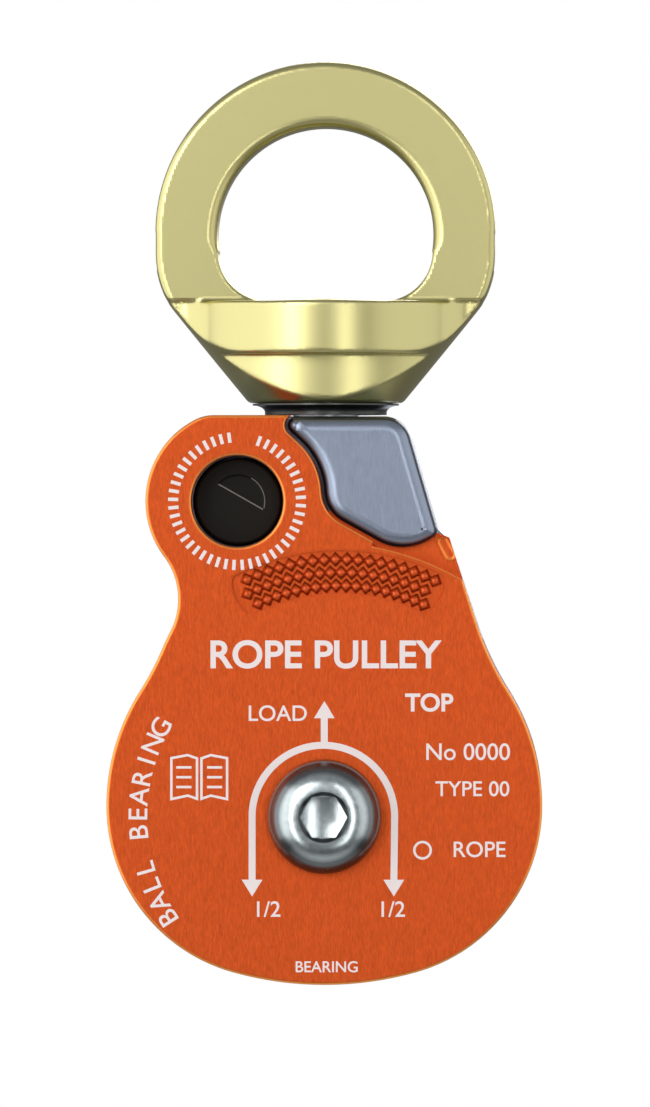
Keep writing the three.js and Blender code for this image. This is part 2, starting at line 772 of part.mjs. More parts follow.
const rearScrew = part('rear_axle_screw', makeScrew(), ZINC);
rearScrew.rotation.z = Math.PI;
pulley.add(rearScrew);

const latch = new THREE.Group();
latch.position.set(BUTTON.x, 0, BUTTON.z);
latch.add(
  part('latch_button', makeLatchButton(), BLACK_METAL),
  part('latch_spring', makeLatchSpring(), STEEL),
  part('latch_clip', makeLatchClip(), STEEL),
);
pulley.add(latch);

const model = new THREE.Group();
model.add(pulley);

export default model;
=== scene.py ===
"""Looks of a swivel-eye rope pulley: satin gold eye, orange opening side plate, blue-grey block."""

import math

import bmesh
import bpy
import numpy as np
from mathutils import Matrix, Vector
from mathutils.geometry import tessellate_polygon


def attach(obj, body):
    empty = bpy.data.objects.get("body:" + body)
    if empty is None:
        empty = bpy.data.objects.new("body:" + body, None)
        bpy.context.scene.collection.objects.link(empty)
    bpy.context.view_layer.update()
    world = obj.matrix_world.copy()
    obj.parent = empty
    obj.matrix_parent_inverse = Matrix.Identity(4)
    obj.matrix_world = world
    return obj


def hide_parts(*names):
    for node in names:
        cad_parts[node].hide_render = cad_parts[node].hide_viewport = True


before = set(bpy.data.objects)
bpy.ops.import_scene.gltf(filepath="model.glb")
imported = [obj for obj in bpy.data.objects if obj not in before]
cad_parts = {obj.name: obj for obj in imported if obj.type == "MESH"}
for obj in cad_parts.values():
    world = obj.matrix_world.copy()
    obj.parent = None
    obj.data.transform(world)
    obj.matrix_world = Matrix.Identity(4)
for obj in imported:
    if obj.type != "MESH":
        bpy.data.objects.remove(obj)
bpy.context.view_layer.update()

bl_info = {
    "name": "Rope pulley",
    "version": (1, 0, 0),
    "blender": (4, 5, 0),
    "location": "3D View > Sidebar > Pulley",
    "description": "Builds the visible pieces of a swivel-eye rope pulley",
    "category": "Object",
}

# Shapes below are drawn in millimetres, with heights measured from the sheave axle's centre.
MM = 0.001
WELD = 0.002
FINE_WELD = 1e-5
LETTER_WELD = 1e-4
GAP_SIDES = 6
FLAT_FACE = 0.999
OUTSIDE = 5.0
AXLE_HEIGHT = -84.25
PLATE_INNER = 7.8
EAR_RADIUS = 11.2
EAR_CORNER = 5.0
BUTTON_CENTRE = (-10.63, 38.49)
LOWER_SIDE = (5.5, 1.3, 21.1)
UPPER_SIDE = (0.6, 1.3, 26.0)
UPPER_SIDE_END = 32.5
FLANK_RADIUS = 36.0
FLANK_TOP = 17.7
WAIST_FLANK_TOP = 22.0
WAIST_RADIUS = 8.72
WAIST_ANGLE = 216.9
BOTTOM_RADIUS = 41.5
PLATE_TOP = 49.0
LUG_CORNERS = (
    (-6.08, 48.8, 1.03),
    (9.8, 48.8, 3.4),
    (14.0, 34.4, 1.2),
    (9.5, 32.0, 6.2),
    (0.1, 37.25, 4.4),
    (-0.27, 43.4, 9.0),
)
LIP_STEP_RADIUS = 33.5
LIP_RADIUS = 37.3
LIP_FRONT = 9.9
STEM_RADIUS = 37.6
LUG_UNDERSIDE = 10.2
PLATE_TIP = (15.25, 34.02)
GRIP_CENTRE = (1.9, 4.3)
EYE_SCALE = 1.006
HUB_FOOT = 50.6


# ---- Outlines, as arrays of [x, z] ----


def arc(x, z, radius, start, end, step=2.0):
    count = max(2, math.ceil(abs(end - start) / step))
    angles = np.radians(np.linspace(start, end, count + 1))
    return np.column_stack([x + radius * np.cos(angles), z + radius * np.sin(angles)])


def joined(*runs):
    """One closed outline from several runs of points, without repeated points."""
    points = np.vstack([np.atleast_2d(run) for run in runs])
    apart = np.linalg.norm(points - np.roll(points, -1, axis=0), axis=1) > 0.01
    return points[apart]


def sides_at(corners, i):
    """Directions of the sides before and after a corner, and the sine of the turn between them."""
    vertex = np.array(corners[i][:2], float)
    before = vertex - np.array(corners[i - 1][:2])
    after = np.array(corners[(i + 1) % len(corners)][:2]) - vertex
    before /= np.linalg.norm(before)
    after /= np.linalg.norm(after)
    return before, after, before[0] * after[1] - before[1] * after[0]


def rounded(corners, step=6.0):
    """A closed outline from corners (x, z, radius)."""
    runs = []
    for i, (x, z, radius) in enumerate(corners):
        vertex = np.array([x, z])
        before, after, cross = sides_at(corners, i)
        turn = math.atan2(cross, float(before @ after))
        start = vertex - before * radius * math.tan(abs(turn) / 2)
        centre = start + np.array([-before[1], before[0]]) * radius * np.sign(turn)
        first = math.degrees(math.atan2(start[1] - centre[1], start[0] - centre[0]))
        runs.append(arc(*centre, radius, first, first + math.degrees(turn), step))
    return joined(*runs)


def mirrored(points):
    return (points * [-1, 1])[::-1]


def bulb():
    """The rounded lower body, from the right flank's top round the bottom to the left flank's."""
    low_x, low_z, low_radius = LOWER_SIDE
    high_x, high_z, high_radius = UPPER_SIDE
    bottom_z = low_z + math.sqrt((BOTTOM_RADIUS - low_radius) ** 2 - low_x**2)
    tangency = math.degrees(math.atan2(low_z - bottom_z, low_x))
    reach = high_radius + FLANK_RADIUS
    lean = math.radians(UPPER_SIDE_END)
    centre = (high_x + reach * math.cos(lean), high_z + reach * math.sin(lean))

    def side(flank_top):
        return np.vstack([
            arc(*centre, FLANK_RADIUS, 180 + flank_top, 180 + UPPER_SIDE_END),
            arc(high_x, high_z, high_radius, UPPER_SIDE_END, 0),
            arc(low_x, low_z, low_radius, 0, tangency),
        ])

    bottom = arc(0, bottom_z, BOTTOM_RADIUS, tangency, -180 - tangency)
    return np.vstack([side(FLANK_TOP), bottom, mirrored(side(WAIST_FLANK_TOP))])


def ear():
    """The waist and the ear round the button, up to the flat top."""
    reach = EAR_RADIUS + WAIST_RADIUS
    lean = math.radians(WAIST_ANGLE)
    waist_x = BUTTON_CENTRE[0] + reach * math.cos(lean)
    waist_z = BUTTON_CENTRE[1] + reach * math.sin(lean)
    rise = PLATE_TOP - EAR_CORNER - BUTTON_CENTRE[1]
    inner = EAR_RADIUS - EAR_CORNER
    top = 180 - math.degrees(math.asin(rise / inner))
    corner_x = BUTTON_CENTRE[0] - math.sqrt(inner**2 - rise**2)
    return np.vstack([
        arc(waist_x, waist_z, WAIST_RADIUS, -WAIST_FLANK_TOP, WAIST_ANGLE - 180),
        arc(*BUTTON_CENTRE, EAR_RADIUS, WAIST_ANGLE, top),
        arc(corner_x, PLATE_TOP - EAR_CORNER, EAR_CORNER, top, 90),
    ])


def plate_outline():
    tip = math.degrees(math.atan2(PLATE_TIP[1], PLATE_TIP[0]))
    lip = arc(0, 0, LIP_RADIUS, 89, tip)
    return joined(bulb(), ear(), [[0.65, PLATE_TOP]], lip)


def block_outline():
    shoulder = rounded((
        (-5.0, PLATE_TOP - 0.1, 0.5),
        (LUG_CORNERS[1][0], PLATE_TOP - 0.1, LUG_CORNERS[1][2]),
        (LUG_CORNERS[2][0] - 0.2, LUG_CORNERS[2][1] + 0.7, 1.0),
        (15.2, 33.8, 0.8),
        (16.6, 30.2, 0.3),
        (-5.0, 30.2, 0.5),
    ))
    upper = shoulder[(shoulder[:, 0] > 0) & (shoulder[:, 1] > 31.0)]
    return joined(bulb(), ear(), [[-5.0, PLATE_TOP - 0.1]], upper)


def lug_outline(clearance=0.0, step=6.0):
    corners = []
    for i, (x, z, radius) in enumerate(LUG_CORNERS):
        before, after, cross = sides_at(LUG_CORNERS, i)
        outward = np.array([-before[1] - after[1], before[0] + after[0]])
        outward /= np.linalg.norm(outward)
        reach = clearance / math.sqrt((1 + float(before @ after)) / 2)
        wider = radius + (clearance if cross < 0 else -clearance)
        corners.append((x + outward[0] * reach, z + outward[1] * reach, wider))
    return rounded(corners, step)


def circle(x, z, radius, count=96):
    return arc(x, z, radius, 0, 360 - 360 / count, 360 / count)


# ---- Solids, as working objects in millimetres ----


def area_of(loop):
    x, z = loop[:, 0], loop[:, 1]
    return 0.5 * float(np.sum(x * np.roll(z, -1) - np.roll(x, -1) * z))


def inset(loop, distance):
    """The loop moved to its left by a distance."""
    forward = np.roll(loop, -1, axis=0) - loop
    forward /= np.linalg.norm(forward, axis=1)[:, None]
    left = np.column_stack([-forward[:, 1], forward[:, 0]])
    before = np.roll(left, 1, axis=0)
    spread = 1 + np.sum(left * before, axis=1)
    return loop + distance * (left + before) / np.maximum(spread, 0.4)[:, None]


def placed(name, data):
    obj = bpy.data.objects.new(name, data)
    bpy.context.scene.collection.objects.link(obj)
    return obj


def turned_out(mesh, weld=None):
    """Merges a mesh's doubles, if a distance is given, and turns its faces outwards."""
    shape = bmesh.new()
    shape.from_mesh(mesh)
    if weld:
        bmesh.ops.remove_doubles(shape, verts=shape.verts, dist=weld)
    bmesh.ops.recalc_face_normals(shape, faces=shape.faces)
    shape.to_mesh(mesh)
    shape.free()


def working(name, vertices, faces):
    mesh = bpy.data.meshes.new(name)
    mesh.from_pydata([tuple(v) for v in vertices], [], [tuple(f) for f in faces])
    turned_out(mesh)
    return placed(name, mesh)


def soft_edge(radius, steps):
    """Inset and drop from the flat face down to the wall of a rounded edge."""
    turns = [math.radians(90 * i / steps) for i in range(steps + 1)]
    return [(radius * (1 - math.sin(t)), radius * (1 - math.cos(t))) for t in turns]


def slab(name, outline, holes, front, back, edge=0.35, back_edge=None, steps=4):
    """A plate between two Y planes with rounded edges; outline and holes in X and Z."""
    back_edge = edge if back_edge is None else back_edge
    rows = [(i, front + d) for i, d in soft_edge(edge, steps)] if edge else [(0, front)]
    if back_edge:
        rows += [(i, back - d) for i, d in reversed(soft_edge(back_edge, steps))]
    else:
        rows += [(0, back)]
    loops = [outline if area_of(outline) > 0 else outline[::-1]]
    loops += [hole if area_of(hole) < 0 else hole[::-1] for hole in holes]
    vertices, faces, caps = [], [], ([], [])
    for loop in loops:
        count, first = len(loop), len(vertices)
        for distance, depth in rows:
            edge_points = inset(loop, distance)
            vertices += [(x, depth, z) for x, z in edge_points]
        for row in range(len(rows) - 1):
            low, high = first + row * count, first + (row + 1) * count
            for i in range(count):
                j = (i + 1) % count
                faces.append((low + i, low + j, high + j, high + i))
        caps[0].append(range(first, first + count))
        last = first + (len(rows) - 1) * count
        caps[1].append(range(last, last + count))
    for cap in caps:
        index = [i for loop in cap for i in loop]
        flat = [[Vector((vertices[i][0], vertices[i][2], 0)) for i in loop] for loop in cap]
        faces += [tuple(index[k] for k in triangle) for triangle in tessellate_polygon(flat)]
    return working(name, vertices, faces)


def lathe(name, profile, segments=128, upright=False, centre=(0, 0)):
    """A solid turned about Y (or Z if upright) from (radius, height) points; centre is x and z."""
    vertices, faces, rings = [], [], []
    closed = profile[0] == profile[-1]
    for radius, height in profile[:-1] if closed else profile:
        if radius < 1e-6:
            rings.append([len(vertices)] * segments)
            around = [(0.0, 0.0)]
        else:
            rings.append(range(len(vertices), len(vertices) + segments))
            turns = np.linspace(0, 2 * math.pi, segments, endpoint=False)
            around = [(radius * math.cos(t), radius * math.sin(t)) for t in turns]
        for a, b in around:
            if upright:
                vertices.append((a, b, height))
            else:
                vertices.append((a + centre[0], height, b + centre[1]))
    pairs = list(zip(rings, rings[1:]))
    if closed:
        pairs.append((rings[-1], rings[0]))
    for low, high in pairs:
        for i in range(segments):
            j = (i + 1) % segments
            corners = list(dict.fromkeys((low[i], low[j], high[j], high[i])))
            if len(corners) > 2:
                faces.append(corners)
    return working(name, vertices, faces)


def rod(name, radius, low, high, centre=(0, 0), segments=128):
    return lathe(name, [(0, low), (radius, low), (radius, high), (0, high)], segments, False, centre)


def upright_rod(name, radius, low, high, segments=96):
    return lathe(name, [(0, low), (radius, low), (radius, high), (0, high)], segments, True)


def box(name, low, high):
    corners = [(x, y, z) for x in (low[0], high[0]) for y in (low[1], high[1]) for z in (low[2], high[2])]
    faces = [(0, 1, 3, 2), (4, 6, 7, 5), (0, 4, 5, 1), (2, 3, 7, 6), (0, 2, 6, 4), (1, 5, 7, 3)]
    return working(name, corners, faces)


def evaluated(obj):
    """Replaces an object's mesh by its mesh with modifiers applied."""
    graph = bpy.context.evaluated_depsgraph_get()
    mesh = bpy.data.meshes.new_from_object(obj.evaluated_get(graph), depsgraph=graph)
    obj.modifiers.clear()
    old = obj.data
    obj.data = mesh
    bpy.data.meshes.remove(old)
    return obj


def combine(target, tools, operation="DIFFERENCE"):
    """Cuts tools from the target, or adds them to it, and removes them."""
    for tool in tools:
        step = target.modifiers.new("step", "BOOLEAN")
        step.operation = operation
        step.solver = "EXACT"
        step.object = tool
        evaluated(target)
        bpy.data.objects.remove(tool)
    return target


def closed_up(mesh):
    """Merges doubles, drops slivers and fills the small gaps that are left."""
    shape = bmesh.new()
    shape.from_mesh(mesh)
    bmesh.ops.remove_doubles(shape, verts=shape.verts, dist=WELD)
    bmesh.ops.dissolve_degenerate(shape, edges=shape.edges, dist=WELD)
    gaps = [edge for edge in shape.edges if len(edge.link_faces) == 1]
    bmesh.ops.holes_fill(shape, edges=gaps, sides=GAP_SIDES)
    shape.to_mesh(mesh)
    shape.free()


def piece(obj, name, body, nodes, finishes, crease=32.0):
    """Puts a working object in place in metres, and hands it to the frame."""
    mesh = obj.data
    closed_up(mesh)
    points = np.empty(len(mesh.vertices) * 3)
    mesh.vertices.foreach_get("co", points)
    points = points.reshape(-1, 3)
    points[:, 2] += AXLE_HEIGHT
    mesh.vertices.foreach_set("co", (points * MM).ravel())
    mesh.materials.clear()
    for finish in finishes:
        mesh.materials.append(finish)
    mesh.update()
    mesh.set_sharp_from_angle(angle=math.radians(crease))
    mesh.polygons.foreach_set("use_smooth", [abs(p.normal.y) < FLAT_FACE for p in mesh.polygons])
    mesh.update()
    obj.name = name
    mesh.name = name
    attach(obj, body)
    if nodes:
        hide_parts(*nodes)
    return obj


# ---- Rounded solids from a distance field ----


def soft_max(a, b, radius):
    """Intersection of two distances with a rounded edge."""
    outside = np.hypot(np.maximum(a + radius, 0), np.maximum(b + radius, 0))
    return np.minimum(np.maximum(a, b), -radius) + outside


def soft_min(a, b, radius):
    """Union of two distances with a fillet."""
    return -soft_max(-a, -b, radius)


def skin(name, field, low, high, pitch):
    """A closed mesh on the zero surface of a distance field."""
    counts = [int(math.ceil((high[k] - low[k]) / pitch)) + 1 for k in range(3)]
    axes = [low[k] + pitch * np.arange(counts[k]) for k in range(3)]
    grid = np.meshgrid(*axes, indexing="ij")
    inside = field(*grid) < 0
    cells = [n - 1 for n in counts]
    total = np.zeros(cells, np.int8)
    for i in (0, 1):
        for j in (0, 1):
            for k in (0, 1):
                total += inside[i:cells[0] + i, j:cells[1] + j, k:cells[2] + k]
    mixed = (total > 0) & (total < 8)
    index = np.full(cells, -1)
    index[mixed] = np.arange(int(mixed.sum()))
    points = np.argwhere(mixed) * pitch + np.array(low) + pitch / 2
    nudge = 0.02 * pitch
    for _ in range(5):
        value = field(*points.T)
        slope = np.column_stack([
            (field(*(points + nudge * np.eye(3)[k]).T) - value) / nudge for k in range(3)
        ])
        length = np.maximum(np.sum(slope**2, axis=1), 0.05)
        move = -(value / length)[:, None] * slope
        points += np.clip(move, -0.6 * pitch, 0.6 * pitch)
    quads = []
    for axis in range(3):
        ahead = np.moveaxis(inside, axis, 0)
        changes = ahead[:-1] != ahead[1:]
        spots = np.argwhere(changes)
        order = [axis] + [k for k in range(3) if k != axis]
        starts_inside = ahead[:-1][changes]
        where = np.empty_like(spots)
        for source, target in enumerate(order):
            where[:, target] = spots[:, source]
        side_a, side_b = np.eye(3, dtype=int)[(axis + 1) % 3], np.eye(3, dtype=int)[(axis + 2) % 3]
        corners = [where - side_a - side_b, where - side_b, where, where - side_a]
        ring = np.column_stack([index[tuple(c.T)] for c in corners])
        ring[~starts_inside] = ring[~starts_inside][:, ::-1]
        quads.append(ring)
    faces = np.vstack(quads)
    return working(name, points.tolist(), faces.tolist())


# ---- Shader node groups ----

FLOAT = "NodeSocketFloat"
INT = "NodeSocketInt"


def shader_group(name, inputs, outputs):
    group = bpy.data.node_groups.new(name, "ShaderNodeTree")
    for label, kind, default in inputs:
        socket = group.interface.new_socket(name=label, in_out="INPUT", socket_type=kind)
        socket.default_value = default
    for label, kind in outputs:
        group.interface.new_socket(name=label, in_out="OUTPUT", socket_type=kind)
    return group


def add(group, kind, inputs=(), **settings):
    """A node with constants on some of its inputs, by name or number."""
    node = group.nodes.new(kind)
    for key, value in settings.items():
        setattr(node, key, value)
    for key, value in dict(inputs).items():
        node.inputs[key].default_value = value
    return node


def grain_group():
    """Fine straight brushing along Z."""
    group = shader_group("Brushed grain", [
        ("Across", FLOAT, 6000.0),
        ("Along", FLOAT, 420.0),
        ("Contrast", FLOAT, 1.0),
    ], [("Streak", FLOAT)])
    start = add(group, "NodeGroupInput")
    place = add(group, "ShaderNodeTexCoord")
    stretch = add(group, "ShaderNodeCombineXYZ")
    scaled = add(group, "ShaderNodeVectorMath", operation="MULTIPLY")
    noise = add(group, "ShaderNodeTexNoise", {"Scale": 1.0, "Detail": 3.0, "Roughness": 0.6})
    centred = add(group, "ShaderNodeMath", {1: 0.5}, operation="SUBTRACT")
    spread = add(group, "ShaderNodeMath", operation="MULTIPLY")
    back = add(group, "ShaderNodeMath", {1: 0.5}, operation="ADD")
    end = add(group, "NodeGroupOutput")
    link = group.links.new
    link(start.outputs["Across"], stretch.inputs["X"])
    link(start.outputs["Across"], stretch.inputs["Y"])
    link(start.outputs["Along"], stretch.inputs["Z"])
    link(place.outputs["Object"], scaled.inputs[0])
    link(stretch.outputs[0], scaled.inputs[1])
    link(scaled.outputs[0], noise.inputs["Vector"])
    link(noise.outputs["Fac"], centred.inputs[0])
    link(centred.outputs[0], spread.inputs[0])
    link(start.outputs["Contrast"], spread.inputs[1])
    link(spread.outputs[0], back.inputs[0])
    link(back.outputs[0], end.inputs["Streak"])
    return group


def edge_group():
    """A mask of rounded edges between a flat face across Y and its walls, where an edge colour is painted as
    a highlight or as shade.
    """
    group = shader_group("Painted edge light and shade", [
        ("Face", FLOAT, 0.97),
        ("Wall", FLOAT, 0.2),
    ], [("Mask", FLOAT)])
    start = add(group, "NodeGroupInput")
    place = add(group, "ShaderNodeTexCoord")
    parts = add(group, "ShaderNodeSeparateXYZ")
    size = add(group, "ShaderNodeMath", operation="ABSOLUTE")
    both = add(group, "ShaderNodeMath", operation="MULTIPLY")
    end = add(group, "NodeGroupOutput")
    link = group.links.new
    link(place.outputs["Normal"], parts.inputs[0])
    link(parts.outputs["Y"], size.inputs[0])
    for index, label, reach in ((0, "Face", -0.1), (1, "Wall", 0.1)):
        limit = add(group, "ShaderNodeMath", {1: reach}, operation="ADD")
        ramp = add(group, "ShaderNodeMapRange")
        link(start.outputs[label], limit.inputs[0])
        link(start.outputs[label], ramp.inputs["From Min"])
        link(limit.outputs[0], ramp.inputs["From Max"])
        link(size.outputs[0], ramp.inputs["Value"])
        link(ramp.outputs["Result"], both.inputs[index])
    link(both.outputs[0], end.inputs["Mask"])
    return group


def wear_group():
    """Scattered specks and cloudy handling marks."""
    group = shader_group("Handling wear", [
        ("Speck size", FLOAT, 900.0),
        ("Cloud size", FLOAT, 90.0),
    ], [("Specks", FLOAT), ("Clouds", FLOAT)])
    start = add(group, "NodeGroupInput")
    place = add(group, "ShaderNodeTexCoord")
    specks = add(group, "ShaderNodeTexVoronoi")
    sharp = add(group, "ShaderNodeMapRange", {"From Min": 0.16, "From Max": 0.05})
    clouds = add(group, "ShaderNodeTexNoise", {"Detail": 5.0})
    spread = add(group, "ShaderNodeMapRange", {"From Min": 0.35, "From Max": 0.7})
    end = add(group, "NodeGroupOutput")
    link = group.links.new
    link(place.outputs["Object"], specks.inputs["Vector"])
    link(place.outputs["Object"], clouds.inputs["Vector"])
    link(start.outputs["Speck size"], specks.inputs["Scale"])
    link(start.outputs["Cloud size"], clouds.inputs["Scale"])
    link(specks.outputs["Distance"], sharp.inputs["Value"])
    link(clouds.outputs["Fac"], spread.inputs["Value"])
    link(sharp.outputs["Result"], end.inputs["Specks"])
    link(spread.outputs["Result"], end.inputs["Clouds"])
    return group


# ---- Finishes ----

RELIEF_DEPTH = 0.0002


def group_node(tree, group_name, **values):
    node = tree.nodes.new("ShaderNodeGroup")
    node.node_tree = bpy.data.node_groups[group_name]
    for label, value in values.items():
        node.inputs[label.replace("_", " ")].default_value = value
    return node


def blended(tree, factor, first, second):
    """A colour mix; first and second are colours or sockets."""
    mix = add(tree, "ShaderNodeMix", data_type="RGBA")
    tree.links.new(factor, mix.inputs["Factor"])
    for label, value in (("A", first), ("B", second)):
        socket = [s for s in mix.inputs if s.name == label and s.type == "RGBA"][0]
        if isinstance(value, bpy.types.NodeSocket):
            tree.links.new(value, socket)
        else:
            socket.default_value = (*value[:3], 1.0)
    return [s for s in mix.outputs if s.type == "RGBA"][0]


def ranged(tree, value, low, high):
    """A value from 0 to 1 stretched between low and high."""
    node = add(tree, "ShaderNodeMapRange", {"To Min": low, "To Max": high})
    tree.links.new(value, node.inputs["Value"])
    return node.outputs["Result"]


def metal(name, colour, dark, edge=None, roughness=(0.35, 0.45), metallic=1.0, grain=(6000, 420, 1.0),
          bump=0.02, cloud=0.15, specular=0.5, catch=(0.99, 0.2)):
    """A brushed or satin metal: two tones along the grain, faint handling marks, and, when an edge colour is
    given, that colour painted on rounded edges: a painted highlight when it is lighter, a painted shade when
    it is darker.
    """
    material = bpy.data.materials.new(name)
    material.use_nodes = True
    tree = material.node_tree
    shader = tree.nodes["Principled BSDF"]
    shader.inputs["Metallic"].default_value = metallic
    shader.inputs["Specular IOR Level"].default_value = specular
    streak = group_node(tree, "Brushed grain", Across=grain[0], Along=grain[1], Contrast=grain[2])
    wear = group_node(tree, "Handling wear")
    tone = blended(tree, streak.outputs["Streak"], dark, colour)
    faded = tuple(0.5 * (a + b) for a, b in zip(colour, dark))
    tone = blended(tree, ranged(tree, wear.outputs["Clouds"], 0.0, cloud), tone, faded)
    # Painted light: the edge colour is laid over rounded edges by the normal's Y, in place of light caught
    # on them or shade on them.
    if edge is not None:
        painted_edge_mask = group_node(tree, "Painted edge light and shade", Face=catch[0], Wall=catch[1])
        tone = blended(tree, painted_edge_mask.outputs["Mask"], tone, edge)
    tree.links.new(tone, shader.inputs["Base Color"])
    tree.links.new(ranged(tree, streak.outputs["Streak"], *roughness), shader.inputs["Roughness"])
    if bump:
        relief = add(tree, "ShaderNodeBump", {"Strength": bump, "Distance": RELIEF_DEPTH})
        tree.links.new(streak.outputs["Streak"], relief.inputs["Height"])
        tree.links.new(relief.outputs["Normal"], shader.inputs["Normal"])
    return material


def plain(name, colour, roughness, metallic=0.0):
    material = bpy.data.materials.new(name)
    material.use_nodes = True
    shader = material.node_tree.nodes["Principled BSDF"]
    shader.inputs["Base Color"].default_value = (*colour, 1.0)
    shader.inputs["Roughness"].default_value = roughness
    shader.inputs["Metallic"].default_value = metallic
    return material


def make_finishes(colours):
    grain_group()
    edge_group()
    wear_group()
    gold, orange, grey = tuple(colours.gold), tuple(colours.orange), tuple(colours.grey)
    darker = lambda colour, share: tuple(c * share for c in colour)
    metal("satin_gold", gold, darker(gold, 0.93), None, (0.30, 0.36), 1.0, (2500, 2500, 0.6), 0.015)
    # The plate's rounded edges get a bright orange: a painted highlight.
    metal("orange_anodised", orange, darker(orange, 0.55), tuple(colours.orange_edge), (0.36, 0.48),
          0.9, (7000, 1300, 1.5), 0.05)
    # The studs get the plate's orange painted lighter, a painted highlight standing in for light on their
    # facets.
    metal("orange_studs", darker(orange, 1.2), darker(orange, 0.75), None, (0.24, 0.34), 0.55,
          (6500, 500, 1.2), 0.03)
    # The block and lug get near-black rounded edges: painted shade.
    metal("grey_anodised", grey, darker(grey, 0.8), darker(grey, 0.2), (0.30, 0.40), 0.9,
          (7000, 900, 1.4), 0.04, catch=(0.68, 0.05))
    # The screws' rounded edges get a dark zinc: painted shade.
    metal("bright_zinc", tuple(colours.zinc), darker(tuple(colours.zinc), 0.7),
          darker(tuple(colours.zinc), 0.3), (0.20, 0.30), 1.0, (1500, 1500, 1.2), 0.05, catch=(0.86, -0.2))
    metal("dark_steel", (0.09, 0.09, 0.08), (0.06, 0.06, 0.055), None, (0.3, 0.4), 1.0,
          (900, 9000, 1.0), 0.02)
    metal("turned_alloy", (0.72, 0.73, 0.74), (0.62, 0.63, 0.64), None, (0.25, 0.33), 1.0,
          (3000, 3000, 0.7), 0.02)
    metal("ground_steel", (0.55, 0.55, 0.54), (0.45, 0.45, 0.45), None, (0.25, 0.35), 1.0,
          (3000, 3000, 0.8), 0.02)
    metal("polished_steel", (0.78, 0.78, 0.79), (0.75, 0.75, 0.76), None, (0.05, 0.08), 1.0,
          (900, 900, 0.3), 0.0)
    metal("bearing_bronze", (0.62, 0.36, 0.14), (0.5, 0.28, 0.11), None, (0.35, 0.45), 1.0,
          (3000, 3000, 0.8), 0.02)
    metal("black_anodised", tuple(colours.black), darker(tuple(colours.black), 0.8), None, (0.32, 0.4), 0.0,
          (2500, 2500, 0.5), 0.0, 0.15, 0.12)
    # Light grey strips on the black button's scoop edges: a painted highlight.
    plain("worn_edge", (0.16, 0.15, 0.13), 0.4, 0.8)
    plain("white_print", tuple(colours.print_white), 0.55)
    plain("pale_floor", (0.78, 0.78, 0.77), 0.8)


def finish(name):
    return bpy.data.materials[name]


# ---- Geometry node helpers ----

STUD_SIDES = 4
STUD_TOP = 0.2


def geometry_tree(name, inputs):
    tree = bpy.data.node_groups.new(name, "GeometryNodeTree")
    tree.interface.new_socket(name="Geometry", in_out="OUTPUT", socket_type="NodeSocketGeometry")
    for label, kind, default in inputs:
        socket = tree.interface.new_socket(name=label, in_out="INPUT", socket_type=kind)
        if default is not None:
            socket.default_value = default
    return tree


def close_tree(tree, geometry, material):
    """Ends a tree in Realize Instances and Set Material."""
    real = add(tree, "GeometryNodeRealizeInstances")
    paint = add(tree, "GeometryNodeSetMaterial", {"Material": finish(material)})
    end = add(tree, "NodeGroupOutput")
    tree.links.new(geometry, real.inputs[0])
    tree.links.new(real.outputs[0], paint.inputs["Geometry"])
    tree.links.new(paint.outputs[0], end.inputs[0])


def math_node(tree, operation, first, second=0.0):
    node = add(tree, "ShaderNodeMath", operation=operation)
    for slot_index, value in enumerate((first, second)):
        if isinstance(value, bpy.types.NodeSocket):
            tree.links.new(value, node.inputs[slot_index])
        else:
            node.inputs[slot_index].default_value = value
    return node.outputs[0]


def polar_points(tree, start, count, angle, radius):
    """Points about a centre in the XZ plane, each turned to face outwards."""
    points = tree.nodes.new("GeometryNodePoints")
    tree.links.new(count, points.inputs["Count"])
    x = math_node(tree, "MULTIPLY", math_node(tree, "COSINE", angle), radius)
    z = math_node(tree, "MULTIPLY", math_node(tree, "SINE", angle), radius)
    place = tree.nodes.new("ShaderNodeCombineXYZ")
    tree.links.new(math_node(tree, "ADD", x, start.outputs["Centre X"]), place.inputs["X"])
    tree.links.new(start.outputs["Depth"], place.inputs["Y"])
    tree.links.new(math_node(tree, "ADD", z, start.outputs["Centre Z"]), place.inputs["Z"])
    tree.links.new(place.outputs[0], points.inputs["Position"])
    turn = tree.nodes.new("ShaderNodeCombineXYZ")
    tree.links.new(math_node(tree, "SUBTRACT", math.pi / 2, angle), turn.inputs["Y"])
    return points.outputs[0], turn.outputs[0]


def instanced(tree, points, shape, rotation):
    node = tree.nodes.new("GeometryNodeInstanceOnPoints")
    tree.links.new(points, node.inputs["Points"])
    tree.links.new(shape, node.inputs["Instance"])
    tree.links.new(rotation, node.inputs["Rotation"])
    return node.outputs[0]


def around_tree(name, inputs):
    """A tree for shapes round a centre, with its inputs and the number of each point."""
    place = [(label, FLOAT, 0.0) for label in ("Centre X", "Centre Z", "Depth")]
    tree = geometry_tree(name, place + inputs)
    return tree, add(tree, "NodeGroupInput"), add(tree, "GeometryNodeInputIndex").outputs[0]


def tick_tree():
    """Short radial bars round an arc."""
    tree, start, index = around_tree("Ticks round an arc", [
        ("Count", INT, 12),
        ("Radius", FLOAT, 1.0),
        ("Start", FLOAT, 0.0),
        ("Step", FLOAT, 0.1),
        ("Bar", "NodeSocketVector", (1.0, 1.0, 1.0)),
    ])
    turned = math_node(tree, "MULTIPLY", index, start.outputs["Step"])
    angle = math_node(tree, "ADD", turned, start.outputs["Start"])
    points, turn = polar_points(tree, start, start.outputs["Count"], angle, start.outputs["Radius"])
    bar = tree.nodes.new("GeometryNodeMeshCube")
    tree.links.new(start.outputs["Bar"], bar.inputs["Size"])
    close_tree(tree, instanced(tree, points, bar.outputs["Mesh"], turn), "white_print")
    return tree


